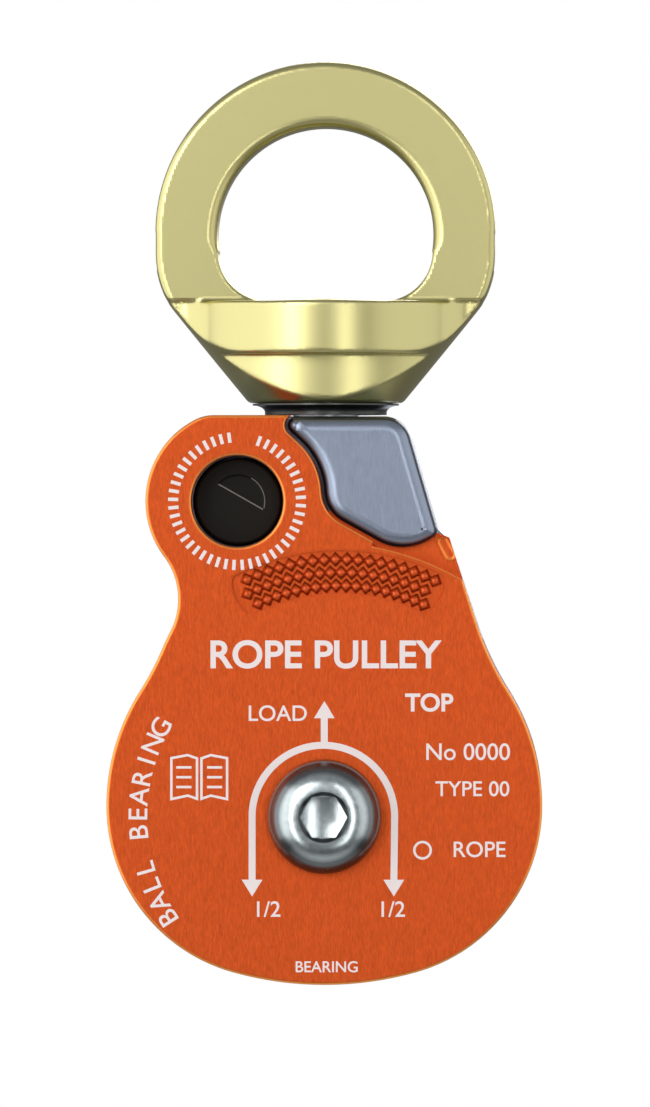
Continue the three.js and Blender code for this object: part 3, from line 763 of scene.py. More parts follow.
def stud_tree():
    """Rows of small pyramids on arcs about one centre, each row shifted by half a step."""
    tree, start, index = around_tree("Studs in arched rows", [
        ("Rows", INT, 3),
        ("Columns", INT, 12),
        ("Inner radius", FLOAT, 1.0),
        ("Row pitch", FLOAT, 1.0),
        ("Start", FLOAT, 0.0),
        ("Step", FLOAT, 0.1),
        ("Stud radius", FLOAT, 1.0),
        ("Stud height", FLOAT, 0.5),
    ])
    columns = start.outputs["Columns"]
    row = math_node(tree, "FLOOR", math_node(tree, "DIVIDE", index, columns))
    column = math_node(tree, "MODULO", index, columns)
    shift = math_node(tree, "MULTIPLY", math_node(tree, "MODULO", row, 2.0), 0.5)
    along = math_node(tree, "ADD", column, shift)
    turned = math_node(tree, "MULTIPLY", along, start.outputs["Step"])
    angle = math_node(tree, "ADD", turned, start.outputs["Start"])
    radius = math_node(tree, "ADD", math_node(tree, "MULTIPLY", row, start.outputs["Row pitch"]),
                       start.outputs["Inner radius"])
    count = math_node(tree, "MULTIPLY", columns, start.outputs["Rows"])
    points, turn = polar_points(tree, start, count, angle, radius)
    stud = add(tree, "GeometryNodeMeshCone", {"Vertices": STUD_SIDES})
    tree.links.new(start.outputs["Stud radius"], stud.inputs["Radius Bottom"])
    tip = math_node(tree, "MULTIPLY", start.outputs["Stud radius"], STUD_TOP)
    tree.links.new(tip, stud.inputs["Radius Top"])
    tree.links.new(start.outputs["Stud height"], stud.inputs["Depth"])
    lay = add(tree, "GeometryNodeTransform", {"Rotation": (math.pi / 2, 0.0, 0.0)})
    tree.links.new(stud.outputs["Mesh"], lay.inputs["Geometry"])
    close_tree(tree, instanced(tree, points, lay.outputs[0], turn), "orange_studs")
    return tree


def ball_tree():
    """Balls evenly round a bearing."""
    tree, start, index = around_tree("Balls round a bearing", [
        ("Count", INT, 8),
        ("Radius", FLOAT, 1.0),
        ("Ball radius", FLOAT, 0.5),
    ])
    step = math_node(tree, "DIVIDE", 2 * math.pi, start.outputs["Count"])
    angle = math_node(tree, "MULTIPLY", index, step)
    points, turn = polar_points(tree, start, start.outputs["Count"], angle, start.outputs["Radius"])
    ball = add(tree, "GeometryNodeMeshIcoSphere", {"Subdivisions": 4})
    tree.links.new(start.outputs["Ball radius"], ball.inputs["Radius"])
    close_tree(tree, instanced(tree, points, ball.outputs["Mesh"], turn), "polished_steel")
    return tree


def screw_tree():
    """The same screw on both ends of the axle, facing outwards."""
    tree = geometry_tree("Screw on each side", [
        ("Screw", "NodeSocketObject", None),
    ])
    start = tree.nodes.new("NodeGroupInput")
    source = tree.nodes.new("GeometryNodeObjectInfo")
    tree.links.new(start.outputs["Screw"], source.inputs["Object"])
    index = tree.nodes.new("GeometryNodeInputIndex")
    points = add(tree, "GeometryNodePoints", {"Count": 2})
    turn = tree.nodes.new("ShaderNodeCombineXYZ")
    tree.links.new(math_node(tree, "MULTIPLY", index.outputs[0], math.pi), turn.inputs["Z"])
    close_tree(tree, instanced(tree, points.outputs[0], source.outputs["Geometry"], turn.outputs[0]),
               "bright_zinc")
    return tree


def grown(name, tree, **values):
    """A plain working object from a geometry node tree and its named inputs."""
    obj = working(name, [], [])
    modifier = obj.modifiers.new("build", "NODES")
    modifier.node_group = tree
    for item in tree.interface.items_tree:
        key = item.name.replace(" ", "_").lower()
        if item.in_out == "INPUT" and key in values:
            modifier[item.identifier] = values[key]
    evaluated(obj)
    turned_out(obj.data, FINE_WELD)
    return obj


# ---- Sizes and colours a user would change ----


def length(name, description, default):
    return bpy.props.FloatProperty(
        name=name, description=description, default=default, unit="LENGTH", subtype="DISTANCE", precision=5
    )


def colour(name, description, default):
    return bpy.props.FloatVectorProperty(
        name=name, description=description, default=default, subtype="COLOR", size=3, min=0.0, max=1.0
    )


class EyeSizes(bpy.types.PropertyGroup):
    half_thickness: length("Half thickness", "Half the ring's thickness", 0.0047)
    hole_radius: length("Hole radius", "Radius of the hole's round top", 0.01318)
    ring_radius: length("Ring radius", "Outer radius of the ring", 0.02074)
    edge: length("Edge", "Rounding of the ring's outer edges", 0.00085)


class PlateSizes(bpy.types.PropertyGroup):
    front: length("Front face", "Distance of the plate's outer face from the middle", 0.0122)
    edge: length("Edge", "Rounding of the plate's edges", 0.00035)
    grip_depth: length("Grip depth", "Depth of the arched thumb grip", 0.00055)
    grip_rows: bpy.props.IntProperty(name="Grip rows", description="Rows of studs in the grip", default=3)
    grip_columns: bpy.props.IntProperty(name="Grip columns", description="Studs in each row", default=18)
    hole: length("Button hole", "Radius of the hole over the latch button", 0.0056)


class BlockSizes(bpy.types.PropertyGroup):
    lug_edge: length("Lug edge", "Rounding round the lug's face", 0.0017)
    front: length("Crossbar face", "Distance of the crossbar's front face from the middle", 0.0075)
    arch: length("Arch radius", "Radius of the arch over the rope", 0.029)


class TurnedSizes(bpy.types.PropertyGroup):
    screw_head: length("Screw head", "Radius of the axle screws' heads", 0.007)
    screw_height: length("Screw head height", "Height of the axle screws' heads", 0.0044)
    flange: length("Sheave radius", "Radius of the sheave's flanges", 0.0193)
    groove: length("Groove radius", "Radius of the sheave's rope groove", 0.0066)
    balls: bpy.props.IntProperty(name="Balls", description="Balls in each bearing", default=8)


class MarkSizes(bpy.types.PropertyGroup):
    line: length("Line width", "Width of the printed rope path", 0.00085)
    height: length("Print height", "Height of the print above the plate", 0.00002)


class PulleyColours(bpy.types.PropertyGroup):
    gold: colour("Eye", "Champagne gold of the swivel eye", (0.60, 0.55, 0.25))
    orange: colour("Side plate", "Orange of the opening side plate", (0.74, 0.105, 0.018))
    # A painted highlight: this light orange is laid on the plate's rounded edges.
    orange_edge: colour("Plate edges", "Bright rounded edges of the side plate", (1.0, 0.36, 0.08))
    grey: colour("Block", "Blue-grey of the block and lug", (0.30, 0.345, 0.435))
    zinc: colour("Screws", "Zinc of the axle screws", (0.55, 0.61, 0.62))
    black: colour("Button", "Black of the latch button", (0.010, 0.009, 0.006))
    print_white: colour("Print", "Printed marks", (0.76, 0.67, 0.65))


class StageSizes(bpy.types.PropertyGroup):
    camera_distance: length("Camera distance", "Distance from the camera to the plate", 1.4)
    focal: bpy.props.FloatProperty(name="Focal length", description="Camera lens in mm", default=373.2)


# ---- Operators, one for each piece or group of like pieces ----


class PULLEY_OT_finishes(bpy.types.Operator):
    """Make the finishes that the pieces share"""

    bl_idname = "pulley.finishes"
    bl_label = "Finishes"

    def execute(self, context):
        make_finishes(context.scene.pulley_colours)
        return {"FINISHED"}


def eye_field(sizes):
    """Distance field of the swivel eye: a flat ring on a two-step hub over a cone."""
    half = sizes.half_thickness / MM
    hole_radius = sizes.hole_radius / MM
    ring_radius = sizes.ring_radius / MM
    edge = sizes.edge / MM
    slope = math.radians(39.8)
    shoulder_x, shoulder_z, shoulder_radius = 8.1, 68.9, 12.6
    ring_z, hole_z = 71.43, 71.07
    corner_x, corner_z, corner_radius, floor = 7.0, 69.1, 6.1, 63.0
    foot_radius, steepness, slant = 9.5, 1.24, 1.593

    def outer(x, z):
        u, v = np.abs(x) - shoulder_x, z - shoulder_z
        top = np.hypot(x, z - ring_z) - ring_radius
        shoulder = np.hypot(u, v) - shoulder_radius
        line = u * math.cos(slope) - v * math.sin(slope) - shoulder_radius
        side = np.abs(x) - shoulder_x - shoulder_radius
        low = np.where(np.arctan2(v, u) > -slope, shoulder, line)
        return np.where(z > ring_z, top, np.where(v > 0, side, low))

    def hole(x, z):
        crown = floor + 0.3 * np.exp(-((x / 4.5) ** 2))
        top = np.hypot(x, z - hole_z) - hole_radius
        u, v = np.abs(x) - corner_x, z - corner_z
        corner = np.hypot(np.maximum(u, 0), np.minimum(v, 0)) - corner_radius
        blend_line = np.where(v > 0, top, np.where(u > 0, corner, crown - z))
        above = (z > corner_z) | (np.hypot(x, z - hole_z) > hole_radius + 4)
        return np.where(above, top, np.maximum(blend_line, crown - z))

    def field(x, y, z):
        x, z = x / EYE_SCALE, HUB_FOOT + (z - HUB_FOOT) / EYE_SCALE
        deep = np.abs(y)
        rim = outer(x, z)
        bevel = 0.35 + 0.95 / (1 + np.exp(-(z - 69.3) / 0.35))
        ring = soft_max(rim, deep - half, edge)
        ring = soft_max(ring, floor - z, 0.35)
        upper = soft_min(np.hypot(x, deep + 3.5) - 17.1, deep - 3.7, 2.5)
        upper = soft_max(soft_max(upper, z - floor, 0.5), 56.5 - z, 0.6)
        spine = soft_max(soft_max(rim, deep - 3.6, 0.5), z - floor - 4.0, 0.5)
        lower = np.hypot(x, deep + 14.0) - 24.0
        lower = soft_max(lower, z - 60.0, 0.2)
        hub = soft_min(upper, lower, 0.35)
        hub = soft_max(hub, rim, 0.5)
        body = soft_min(soft_min(ring, spine, 0.3), hub, 0.5)
        cone = ((np.hypot(x, y) - foot_radius) * steepness - (z - HUB_FOOT)) / slant
        body = soft_max(body, cone, 0.2)
        body = soft_max(body, HUB_FOOT - z, 0.4)
        return soft_max(body, -hole(x, z), bevel)

    return field


class PULLEY_OT_eye(bpy.types.Operator):
    """Make the swivel eye"""

    bl_idname = "pulley.eye"
    bl_label = "Swivel eye"

    def execute(self, context):
        field = eye_field(context.scene.pulley_eye)
        eye = skin("eye", field, (-21.6, -14.6, 49.9), (21.6, 14.6, 93.4), 0.24)
        piece(eye, "swivel_eye_body", "eye", ["swivel_eye"], [finish("satin_gold")], 60.0)
        return {"FINISHED"}


class PULLEY_OT_collar(bpy.types.Operator):
    """Make the flared collar under the eye"""

    bl_idname = "pulley.collar"
    bl_label = "Swivel collar"

    def execute(self, context):
        bottom, top, neck, flare, bore = 49.15, 50.5, 7.5, 9.0, 4.15
        turns = [math.radians(90 * i / 10) for i in range(11)]
        cove = [
            (neck + (flare - neck) * (1 - math.cos(t)), bottom + 0.3 + (top - bottom - 0.5) * math.sin(t))
            for t in turns
        ]
        profile = [(bore, bottom), (neck, bottom), *cove, (flare, top), (bore, top), (bore, bottom)]
        collar = lathe("collar", profile, 160, True)
        piece(collar, "swivel_collar_ring", "eye", ["swivel_collar"], [finish("dark_steel")])
        return {"FINISHED"}


class PULLEY_OT_block(bpy.types.Operator):
    """Make the block: rear plate, crossbar and lug in one"""

    bl_idname = "pulley.block"
    bl_label = "Block"

    def execute(self, context):
        sizes = context.scene.pulley_block
        plate = context.scene.pulley_plate
        face, back = -plate.front / MM, plate.front / MM
        x, z = BUTTON_CENTRE
        outline = block_outline()
        rear = slab("rear", outline, [circle(0, 0, 5.1)], PLATE_INNER, back)
        bar = slab("bar", outline, [circle(x, z, 5.45)], -sizes.front / MM, PLATE_INNER + 1.0, 0.35, 0)
        combine(bar, [
            rod("arch", sizes.arch / MM, -20, PLATE_INNER, segments=256),
            box("below", (-40, -20, -40), (40, 30, 15)),
        ])
        lug = slab("lug", lug_outline(0, 3.0), [], face, 0, sizes.lug_edge / MM, 0, 10)
        ring = [(20, -LUG_UNDERSIDE), (STEM_RADIUS, -LUG_UNDERSIDE), (STEM_RADIUS, 5), (20, 5)]
        combine(lug, [lathe("under_lug", ring + ring[:1], 256)])
        combine(rear, [bar, lug], "UNION")
        combine(rear, [
            rod("stem_hole", 2.3, 2, 20, BUTTON_CENTRE, 64),
            rod("clip_recess", 4.2, 6.5, 20, BUTTON_CENTRE, 96),
            upright_rod("post_hole", 4.3, 20, 60),
            upright_rod("bush_hole", 5.6, 44.4, 60),
            upright_rod("head_pocket", 6.8, 20, 33.9),
        ])
        piece(rear, "block_shell", "block", ["block_body"], [finish("grey_anodised")])
        return {"FINISHED"}


def grip_outline(low, high, start, end, corner):
    """A band between two radii about the grip's centre, with rounded ends."""
    x, z = GRIP_CENTRE
    middle, half = (low + high) / 2, (high - low) / 2
    right = np.radians(start)
    left = np.radians(end)
    ends = []
    for angle, turn in ((right, -1), (left, 1)):
        out = np.array([math.cos(angle), math.sin(angle)])
        side = np.array([-out[1], out[0]]) * turn
        sweep = np.radians(np.linspace(-90, 90, 13)) if turn > 0 else np.radians(np.linspace(90, -90, 13))
        centre = np.array([x, z]) + out * middle
        reach = [centre - out * half * math.sin(s) * -1 + side * corner * math.cos(s) for s in sweep]
        ends.append(np.array(reach))
    top = arc(x, z, high, start, end)
    under = arc(x, z, low, end, start)
    return joined(top[1:-1], ends[1][::-1], under[1:-1], ends[0][::-1])


class PULLEY_OT_plate(bpy.types.Operator):
    """Make the opening side plate with its lug seat, lip and thumb grip"""

    bl_idname = "pulley.plate"
    bl_label = "Side plate"

    def execute(self, context):
        sizes = context.scene.pulley_plate
        front = -sizes.front / MM
        edge = sizes.edge / MM
        holes = [circle(0, 0, 6.2), circle(*BUTTON_CENTRE, sizes.hole / MM, 128)]
        plate = slab("plate", plate_outline(), holes, front, -PLATE_INNER, edge)
        seat = slab("seat", lug_outline(0.35, 3.0), [], front - OUTSIDE, -LIP_FRONT, 0, 0)
        flare = slab("flare", lug_outline(0.62, 3.0), [], front - 0.02, front + 0.25, 0, 0.24)
        step = joined(arc(0, 0, LIP_STEP_RADIUS, 40, 80), arc(0, 0, 45, 80, 40))
        stem = slab("stem", lug_outline(0.35, 3.0), [], front - OUTSIDE, 0, 0, 0)
        combine(stem, [rod("lip", LIP_RADIUS, -30, 5, segments=256)])
        lip_step = slab("lip_step", step, [], front - OUTSIDE, -LIP_FRONT, 0, 0)
        grip = slab("grip", grip_outline(22.9, 28.2, 64, 117, 1.2), [], front - 1,
                    front + sizes.grip_depth / MM, 0, 0)
        grip_rim = slab("grip_rim", grip_outline(22.7, 28.4, 63.6, 117.4, 1.2), [], front - 1,
                        front + 0.1, 0, 0)
        capsule = joined(arc(14.5, 33.5, 0.8, 25, 205, 10), arc(15.4, 31.9, 0.8, 205, 385, 10))
        scallop = slab("scallop", capsule, [], front - OUTSIDE, -LIP_FRONT + 0.6, 0, 0.5)
        line = joined(arc(0, 0, LIP_STEP_RADIUS - 0.25, 40, 80), arc(0, 0, 45, 80, 40))
        lip_line = slab("lip_line", line, [], front - OUTSIDE, front + 0.2, 0, 0.19)
        combine(plate, [seat, flare, stem, lip_step, grip_rim, grip, lip_line, scallop])
        piece(plate, "front_plate_shell", "front_plate", ["front_plate"],
              [finish("orange_anodised")])
        step_angle = math.radians(53 / sizes.grip_columns)
        studs = grown("studs", stud_tree(), centre_x=GRIP_CENTRE[0], centre_z=GRIP_CENTRE[1],
                      depth=front + sizes.grip_depth / MM - 0.22, rows=sizes.grip_rows,
                      columns=sizes.grip_columns, inner_radius=23.9, row_pitch=1.6,
                      start=math.radians(64.6), step=step_angle, stud_radius=0.9, stud_height=0.5)
        piece(studs, "grip_studs", "front_plate", [], [finish("orange_studs")], 20.0)
        return {"FINISHED"}


class PULLEY_OT_screws(bpy.types.Operator):
    """Make the two button-head axle screws"""

    bl_idname = "pulley.screws"
    bl_label = "Axle screws"

    def execute(self, context):
        sizes = context.scene.pulley_turned
        head, height = sizes.screw_head / MM, sizes.screw_height / MM
        seat, crown, rim, socket, depth = -12.35, 3.1, 0.35, 2.5, 2.6
        shank, shank_length = 4.0, 8.6
        dome = [
            (crown + (head - crown) * math.cos(t), seat - rim - (height - rim) * math.sin(t))
            for t in np.radians(np.linspace(90, 0, 25))
        ]
        screw = lathe("screw", [(0, seat - height), *dome, (head, seat - 0.1), (head - 0.1, seat),
                                (shank, seat), (shank, seat + shank_length), (0, seat + shank_length)], 160)
        reach = socket / math.cos(math.pi / 6)
        hexagon = lathe("hexagon", [(0, seat - height - 1), (reach, seat - height - 1),
                                    (reach, seat - height + depth), (0, seat - height + depth + 0.9)], 6)
        cone = lathe("mouth", [(0, seat - height - 1), (reach + 1.2, seat - height - 1),
                               (reach - 0.25, seat - height + 0.5), (0, seat - height + 0.5)], 128)
        combine(screw, [hexagon, cone])
        both = grown("screws", screw_tree(), screw=screw)
        bpy.data.objects.remove(screw)
        piece(both, "axle_screws", "block", ["front_axle_screw", "rear_axle_screw"],
              [finish("bright_zinc")], 28.0)
        return {"FINISHED"}


class PULLEY_OT_sheave(bpy.types.Operator):
    """Make the rope sheave"""

    bl_idname = "pulley.sheave"
    bl_label = "Sheave"

    def execute(self, context):
        sizes = context.scene.pulley_turned
        flange, groove = sizes.flange / MM, sizes.groove / MM
        width, centre, bore, shoulder = 7.2, 20.6, 12.1, 11.2
        seat_end, clip_depth, clip_low, clip_high = -6.08, 12.6, 6.03, 6.93
        lean = math.degrees(math.acos((centre - flange) / groove))
        sweep = np.radians(np.linspace(180 + lean, 180 - lean, 33))
        curve = [(centre + groove * math.cos(t), groove * math.sin(t)) for t in sweep]
        profile = [(shoulder, -width), (flange - 0.35, -width), (flange - 0.1, -width + 0.1),
                   (flange, -width + 0.35), *curve, (flange, width - 0.35), (flange - 0.1, width - 0.1),
                   (flange - 0.35, width), (bore, width), (bore, clip_high), (clip_depth, clip_high),
                   (clip_depth, clip_low), (bore, clip_low), (bore, seat_end), (shoulder, seat_end),
                   (shoulder, -width)]
        sheave = lathe("sheave", profile, 180)
        piece(sheave, "rope_sheave", "sheave", ["sheave"], [finish("turned_alloy")])
        return {"FINISHED"}


class PULLEY_OT_balls(bpy.types.Operator):
    """Make the balls of both bearings"""

    bl_idname = "pulley.balls"
    bl_label = "Bearing balls"

    def execute(self, context):
        count = context.scene.pulley_turned.balls
        tree = ball_tree()
        for side, depth in (("front", -3.0), ("rear", 3.0)):
            balls = grown(side, tree, depth=depth, count=count, radius=9.0, ball_radius=1.5875)
            nodes = [f"{side}_bearing_ball_{i + 1}" for i in range(count)]
            piece(balls, f"{side}_bearing_balls", f"{side}_ball_set", nodes,
                  [finish("polished_steel")], 60.0)
        return {"FINISHED"}


class PULLEY_OT_button(bpy.types.Operator):
    """Make the latch button"""

    bl_idname = "pulley.button"
    bl_label = "Latch button"

    def execute(self, context):
        top, radius, edge = -context.scene.pulley_block.front / MM, 5.3, 0.35
        base, cavity, floor, stem, clip = top + 7.5, 4.25, top + 2.5, 2.0, 11.6
        rim = [(radius - edge + edge * math.sin(t), top + edge - edge * math.cos(t))
               for t in np.radians(np.linspace(0, 90, 7))]
        button = lathe("button", [(0, top), *rim, (radius, base), (cavity, base), (cavity, floor),
                                  (stem, floor), (stem, clip - 0.95), (stem - 0.4, clip - 0.95),
                                  (stem - 0.4, clip + 0.05), (stem, clip + 0.05), (stem, 12.0), (0, 12.0)],
                       128, False, BUTTON_CENTRE)
        bowl = joined(arc(*BUTTON_CENTRE, 3.3, 139.8, -19, 6))
        scoop = slab("scoop", bowl, [], top - 1, top + 0.45, 0, 0.25)
        combine(button, [scoop])
        x, z = BUTTON_CENTRE
        chord = [(-2.45, 2.05), (3.0, -1.05), (3.1, -0.93), (-2.35, 2.17)]
        # Thin light strips along the scoop's chord and right arc: a painted highlight on its edges.
        edges = [
            print_slab([(x + a, z + b) for a, b in chord], top, 0.03),
            print_slab(joined(arc(x, z, 3.32, 60, -15, 5), arc(x, z, 3.22, -15, 60, 5)), top, 0.03),
        ]
        piece(merged(edges), "latch_button_wear", "latch_button", [], [finish("worn_edge")])
        piece(button, "latch_button_head", "latch_button", ["latch_button"],
              [finish("black_anodised")])
        return {"FINISHED"}


class PULLEY_OT_fittings(bpy.types.Operator):
    """Give the bearings, bushes, washers, spring and clips their finishes"""

    bl_idname = "pulley.fittings"
    bl_label = "Bearings and small fittings"

    def execute(self, context):
        finishes = dict.fromkeys(("swivel_post", "axle"), "turned_alloy")
        for name in ("swivel_thrust_washer", "swivel_bush", "plate_bush", "front_spacer_washer",
                     "rear_spacer_washer"):
            finishes[name] = "bearing_bronze"
        for name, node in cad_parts.items():
            if node.hide_render:
                continue
            node.data.materials.clear()
            node.data.materials.append(finish(finishes.get(name, "ground_steel")))
        return {"FINISHED"}


def print_slab(points, front, height):
    """A thin flat mark standing a little proud of the plate."""
    return slab("mark", np.array(points, float), [], front - height, front + 0.05, 0, 0)


def letters(text, size, x, z, front, height, bold=0.0, turn=0.0):
    """Plain lettering standing a little proud of the plate."""
    curve = bpy.data.curves.new("letters", "FONT")
    curve.body = text
    curve.size = size
    curve.offset = bold
    curve.extrude = (0.05 + height) / 2
    curve.align_x = "CENTER"
    curve.align_y = "CENTER"
    source = placed("letters", curve)
    graph = bpy.context.evaluated_depsgraph_get()
    mesh = bpy.data.meshes.new_from_object(source.evaluated_get(graph), depsgraph=graph)
    bpy.data.objects.remove(source)
    middle = front + (0.05 - height) / 2
    c, s = math.cos(turn), math.sin(turn)
    points = [(x + v.co.x * c - v.co.y * s, middle - v.co.z, z + v.co.x * s + v.co.y * c)
              for v in mesh.vertices]
    faces = [tuple(p.vertices) for p in mesh.polygons]
    bpy.data.meshes.remove(mesh)
    obj = working("letters", points, faces)
    turned_out(obj.data, LETTER_WELD)
    return obj


def merged(objects):
    """One working object from several."""
    whole = bmesh.new()
    for obj in objects:
        whole.from_mesh(obj.data)
        bpy.data.objects.remove(obj)
    mesh = bpy.data.meshes.new("merged")
    whole.to_mesh(mesh)
    whole.free()
    return placed("merged", mesh)


def rope_path_marks(sizes, front, height):
    """The rope's way over the sheave, with arrows down both legs and one up."""
    half = sizes.line / MM / 2
    radius, leg, foot = 8.7, 0.0, -7.9
    band = joined(
        [[radius + half - 0.2, foot]], arc(-0.1, leg, radius + half, 0, 180), [[-radius - half - 0.1, foot]],
        [[-radius + half - 0.1, foot]], arc(-0.1, leg, radius - half, 180, 0), [[radius - half - 0.2, foot]],
    )
    marks = [print_slab(band, front, height)]
    for x in (-radius - 0.1, radius - 0.2):
        marks.append(print_slab([(x - 1.27, -7.7), (x, -9.75), (x + 1.27, -7.7)], front, height + 0.001))
    marks.append(print_slab([(-0.42, 8.9), (0.44, 8.9), (0.44, 12.1), (-0.42, 12.1)], front, height + 0.002))
    marks.append(print_slab([(-1.25, 12.0), (1.28, 12.0), (0.02, 14.1)], front, height + 0.001))
    return marks


def booklet_marks(front, height):
    """An open booklet drawn in lines."""
    marks = []
    for side in (-1, 1):
        x, z = -15.25, 4.9
        outer = [(x + side * 0.12, z + 2.3), (x + side * 1.4, z + 2.75), (x + side * 3.55, z + 2.35),
                 (x + side * 3.55, z - 2.95), (x + side * 1.4, z - 2.5), (x + side * 0.12, z - 2.95)]
        inner = inset(np.array(outer, float) if side < 0 else np.array(outer[::-1], float), 0.3)
        if area_of(inner) < 0:
            inner = inner[::-1]
        outline = np.array(outer, float)
        if abs(area_of(inner)) > abs(area_of(outline)):
            outline, inner = inner, outline
        marks.append(slab("page", outline, [inner], front - height, front + 0.05, 0, 0))
        for row in (-1.3, -0.1, 1.1):
            low, high = sorted((x + side * 0.95, x + side * 2.8))
            marks.append(print_slab([(low, z + row - 0.15), (high, z + row - 0.15), (high, z + row + 0.15),
                                     (low, z + row + 0.15)], front, height))
    return marks


class PULLEY_OT_marks(bpy.types.Operator):
    """Print plain generic marks on the side plate"""

    bl_idname = "pulley.marks"
    bl_label = "Printed marks"

    def execute(self, context):
        sizes = context.scene.pulley_marks
        front = -context.scene.pulley_plate.front / MM
        height = sizes.height / MM
        marks = rope_path_marks(sizes, front, height) + booklet_marks(front, height)
        for text, size, x, z, bold in (
            ("ROPE PULLEY", 4.7, 0.0, 19.6, 0.10),
            ("TOP", 3.0, 12.8, 13.8, 0.08),
            ("LOAD", 2.7, -5.7, 12.5, 0.02),
            ("No 0000", 2.9, 17.5, 7.8, 0.02),
            ("TYPE 00", 2.6, 18.1, 3.3, 0.02),
            ("ROPE", 2.7, 18.9, -4.1, 0.02),
            ("1/2", 2.7, -7.0, -11.4, 0.02),
            ("1/2", 2.7, 8.2, -11.4, 0.02),
            ("BEARING", 1.9, 0.3, -18.4, 0.02),
        ):
            marks.append(letters(text, size, x, z, front, height, bold))
        ring = circle(12.0, -4.1, 1.15, 48), circle(12.0, -4.1, 0.85, 48)
        marks.append(slab("ring", ring[0], [ring[1]], front - height, front + 0.05, 0, 0))
        text, radius = "BALL BEARING", 22.6
        for i, letter in enumerate(text):
            angle = math.radians(213 - i * 5.6)
            if letter != " ":
                marks.append(letters(letter, 3.3, radius * math.cos(angle), radius * math.sin(angle),
                                     front, height, 0.02, angle - math.pi / 2))
        marks.append(grown("ticks", tick_tree(), centre_x=BUTTON_CENTRE[0], centre_z=BUTTON_CENTRE[1],
                           depth=front + 0.015, count=46, radius=7.8, start=math.radians(70),
                           step=math.radians(-7.4), bar=(0.42, 0.07, 1.25)))
        piece(merged(marks), "plate_print", "front_plate", [], [finish("white_print")])
        return {"FINISHED"}


def softbox(name, place, target, size, energy):
    lamp = bpy.data.lights.new(name, "AREA")
    lamp.shape = "RECTANGLE"
    lamp.size, lamp.size_y = size
    lamp.energy = energy
    obj = placed(name, lamp)
    obj.location = place
    obj.rotation_euler = (Vector(target) - Vector(place)).to_track_quat("-Z", "Y").to_euler()


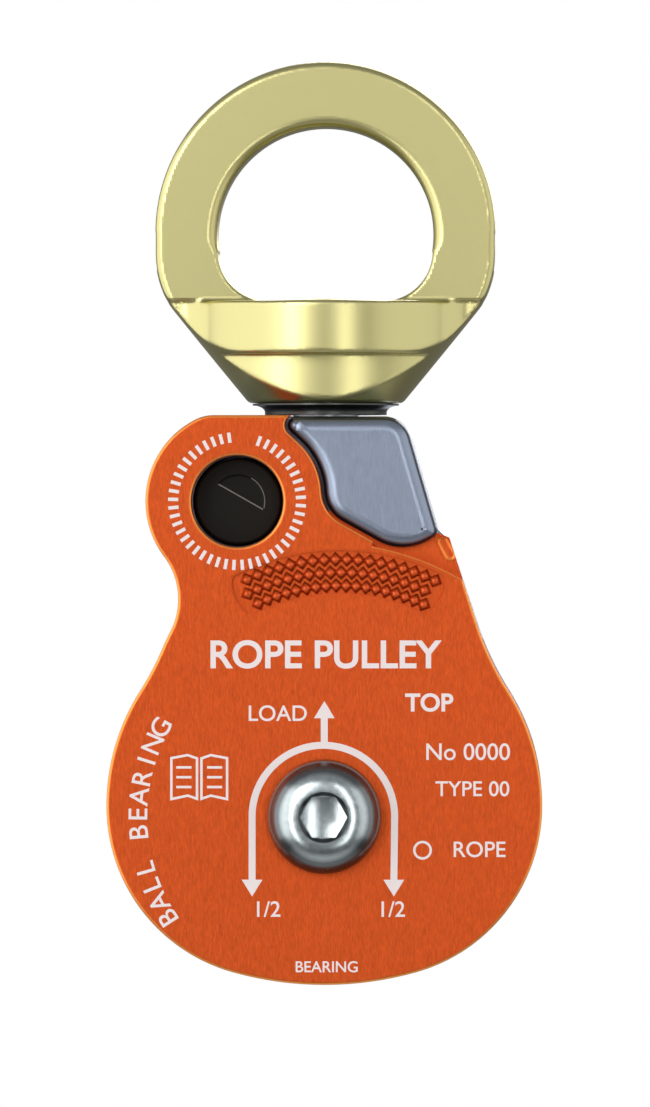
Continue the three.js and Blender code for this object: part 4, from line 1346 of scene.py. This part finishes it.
class PULLEY_OT_stage(bpy.types.Operator):
    """Set the floor, the lights and the camera"""

    bl_idname = "pulley.stage"
    bl_label = "Stage"

    def execute(self, context):
        sizes = context.scene.pulley_stage
        bpy.ops.mesh.primitive_plane_add(size=1.4, location=(0, 0, -0.8))
        floor = context.active_object
        floor.name = "floor"
        floor.data.materials.append(finish("pale_floor"))
        context.scene.view_settings.view_transform = "Standard"
        world = bpy.data.worlds.new("studio")
        context.scene.world = world
        world.use_nodes = True
        tree = world.node_tree
        lit = tree.nodes["Background"]
        lit.inputs["Color"].default_value = (0.93, 0.95, 1.0, 1.0)
        way = tree.nodes.new("ShaderNodeTexCoord")
        parts = tree.nodes.new("ShaderNodeSeparateXYZ")
        reach = {"From Min": -0.6, "From Max": 0.6, "To Min": 0.12, "To Max": 0.36}
        fade = add(tree, "ShaderNodeMapRange", reach)
        tree.links.new(way.outputs["Generated"], parts.inputs[0])
        tree.links.new(parts.outputs["Z"], fade.inputs["Value"])
        tree.links.new(fade.outputs["Result"], lit.inputs["Strength"])
        seen = add(tree, "ShaderNodeBackground", {"Color": (1.0, 1.0, 1.0, 1.0)})
        rays = tree.nodes.new("ShaderNodeLightPath")
        mix = tree.nodes.new("ShaderNodeMixShader")
        tree.links.new(rays.outputs["Is Camera Ray"], mix.inputs["Fac"])
        tree.links.new(lit.outputs[0], mix.inputs[1])
        tree.links.new(seen.outputs[0], mix.inputs[2])
        tree.links.new(mix.outputs[0], tree.nodes["World Output"].inputs["Surface"])
        aim = (0.0, 0.0, -0.05)
        for name, place, size, energy in (
            ("key", (-0.25, -0.65, 0.20), (0.35, 0.35), 1.1),
            ("left_wall", (-0.50, -0.12, -0.02), (0.8, 0.7), 2.5),
            ("left_strip", (-0.27, -0.52, -0.03), (0.12, 0.6), 0.95),
            ("right_strip", (0.165, -0.565, -0.03), (0.08, 0.6), 0.7),
            ("right_wall", (0.50, -0.12, -0.02), (0.8, 0.7), 1.5),
            ("rear", (0.2, 0.6, 0.25), (0.5, 0.5), 3.0),
        ):
            softbox(name, place, aim, size, energy)
        camera = bpy.data.cameras.new("camera")
        camera.lens = sizes.focal
        camera.sensor_width = 36.0
        camera.clip_start = 0.01
        view = placed("camera", camera)
        centre = Vector((0.0001, -0.0122, AXLE_HEIGHT * MM + 0.0321))
        view.location = centre + Vector((0.024, -sizes.camera_distance, 0.0))
        view.rotation_euler = (centre - view.location).to_track_quat("-Z", "Y").to_euler()
        context.scene.camera = view
        return {"FINISHED"}


class PULLEY_PT_panel(bpy.types.Panel):
    """Sizes, colours and build steps of the pulley"""

    bl_label = "Rope pulley"
    bl_idname = "PULLEY_PT_panel"
    bl_space_type = "VIEW_3D"
    bl_region_type = "UI"
    bl_category = "Pulley"

    def draw(self, context):
        for name in SETTINGS:
            group = getattr(context.scene, name)
            column = self.layout.column()
            for key in group.__annotations__:
                column.prop(group, key)
        for operator in STEPS:
            self.layout.operator(operator.bl_idname)


SETTINGS = {
    "pulley_eye": EyeSizes,
    "pulley_plate": PlateSizes,
    "pulley_block": BlockSizes,
    "pulley_turned": TurnedSizes,
    "pulley_marks": MarkSizes,
    "pulley_colours": PulleyColours,
    "pulley_stage": StageSizes,
}
STEPS = (
    PULLEY_OT_finishes,
    PULLEY_OT_eye,
    PULLEY_OT_collar,
    PULLEY_OT_block,
    PULLEY_OT_plate,
    PULLEY_OT_marks,
    PULLEY_OT_screws,
    PULLEY_OT_sheave,
    PULLEY_OT_balls,
    PULLEY_OT_button,
    PULLEY_OT_fittings,
    PULLEY_OT_stage,
)


def register():
    for group in SETTINGS.values():
        bpy.utils.register_class(group)
    for step in STEPS:
        bpy.utils.register_class(step)
    bpy.utils.register_class(PULLEY_PT_panel)
    for name, group in SETTINGS.items():
        setattr(bpy.types.Scene, name, bpy.props.PointerProperty(type=group))


def unregister():
    for name in SETTINGS:
        delattr(bpy.types.Scene, name)
    bpy.utils.unregister_class(PULLEY_PT_panel)
    for step in reversed(STEPS):
        bpy.utils.unregister_class(step)
    for group in reversed(list(SETTINGS.values())):
        bpy.utils.unregister_class(group)


def main():
    register()
    for step in STEPS:
        area, name = step.bl_idname.split(".")
        getattr(getattr(bpy.ops, area), name)()


if __name__ == "__main__":
    main()
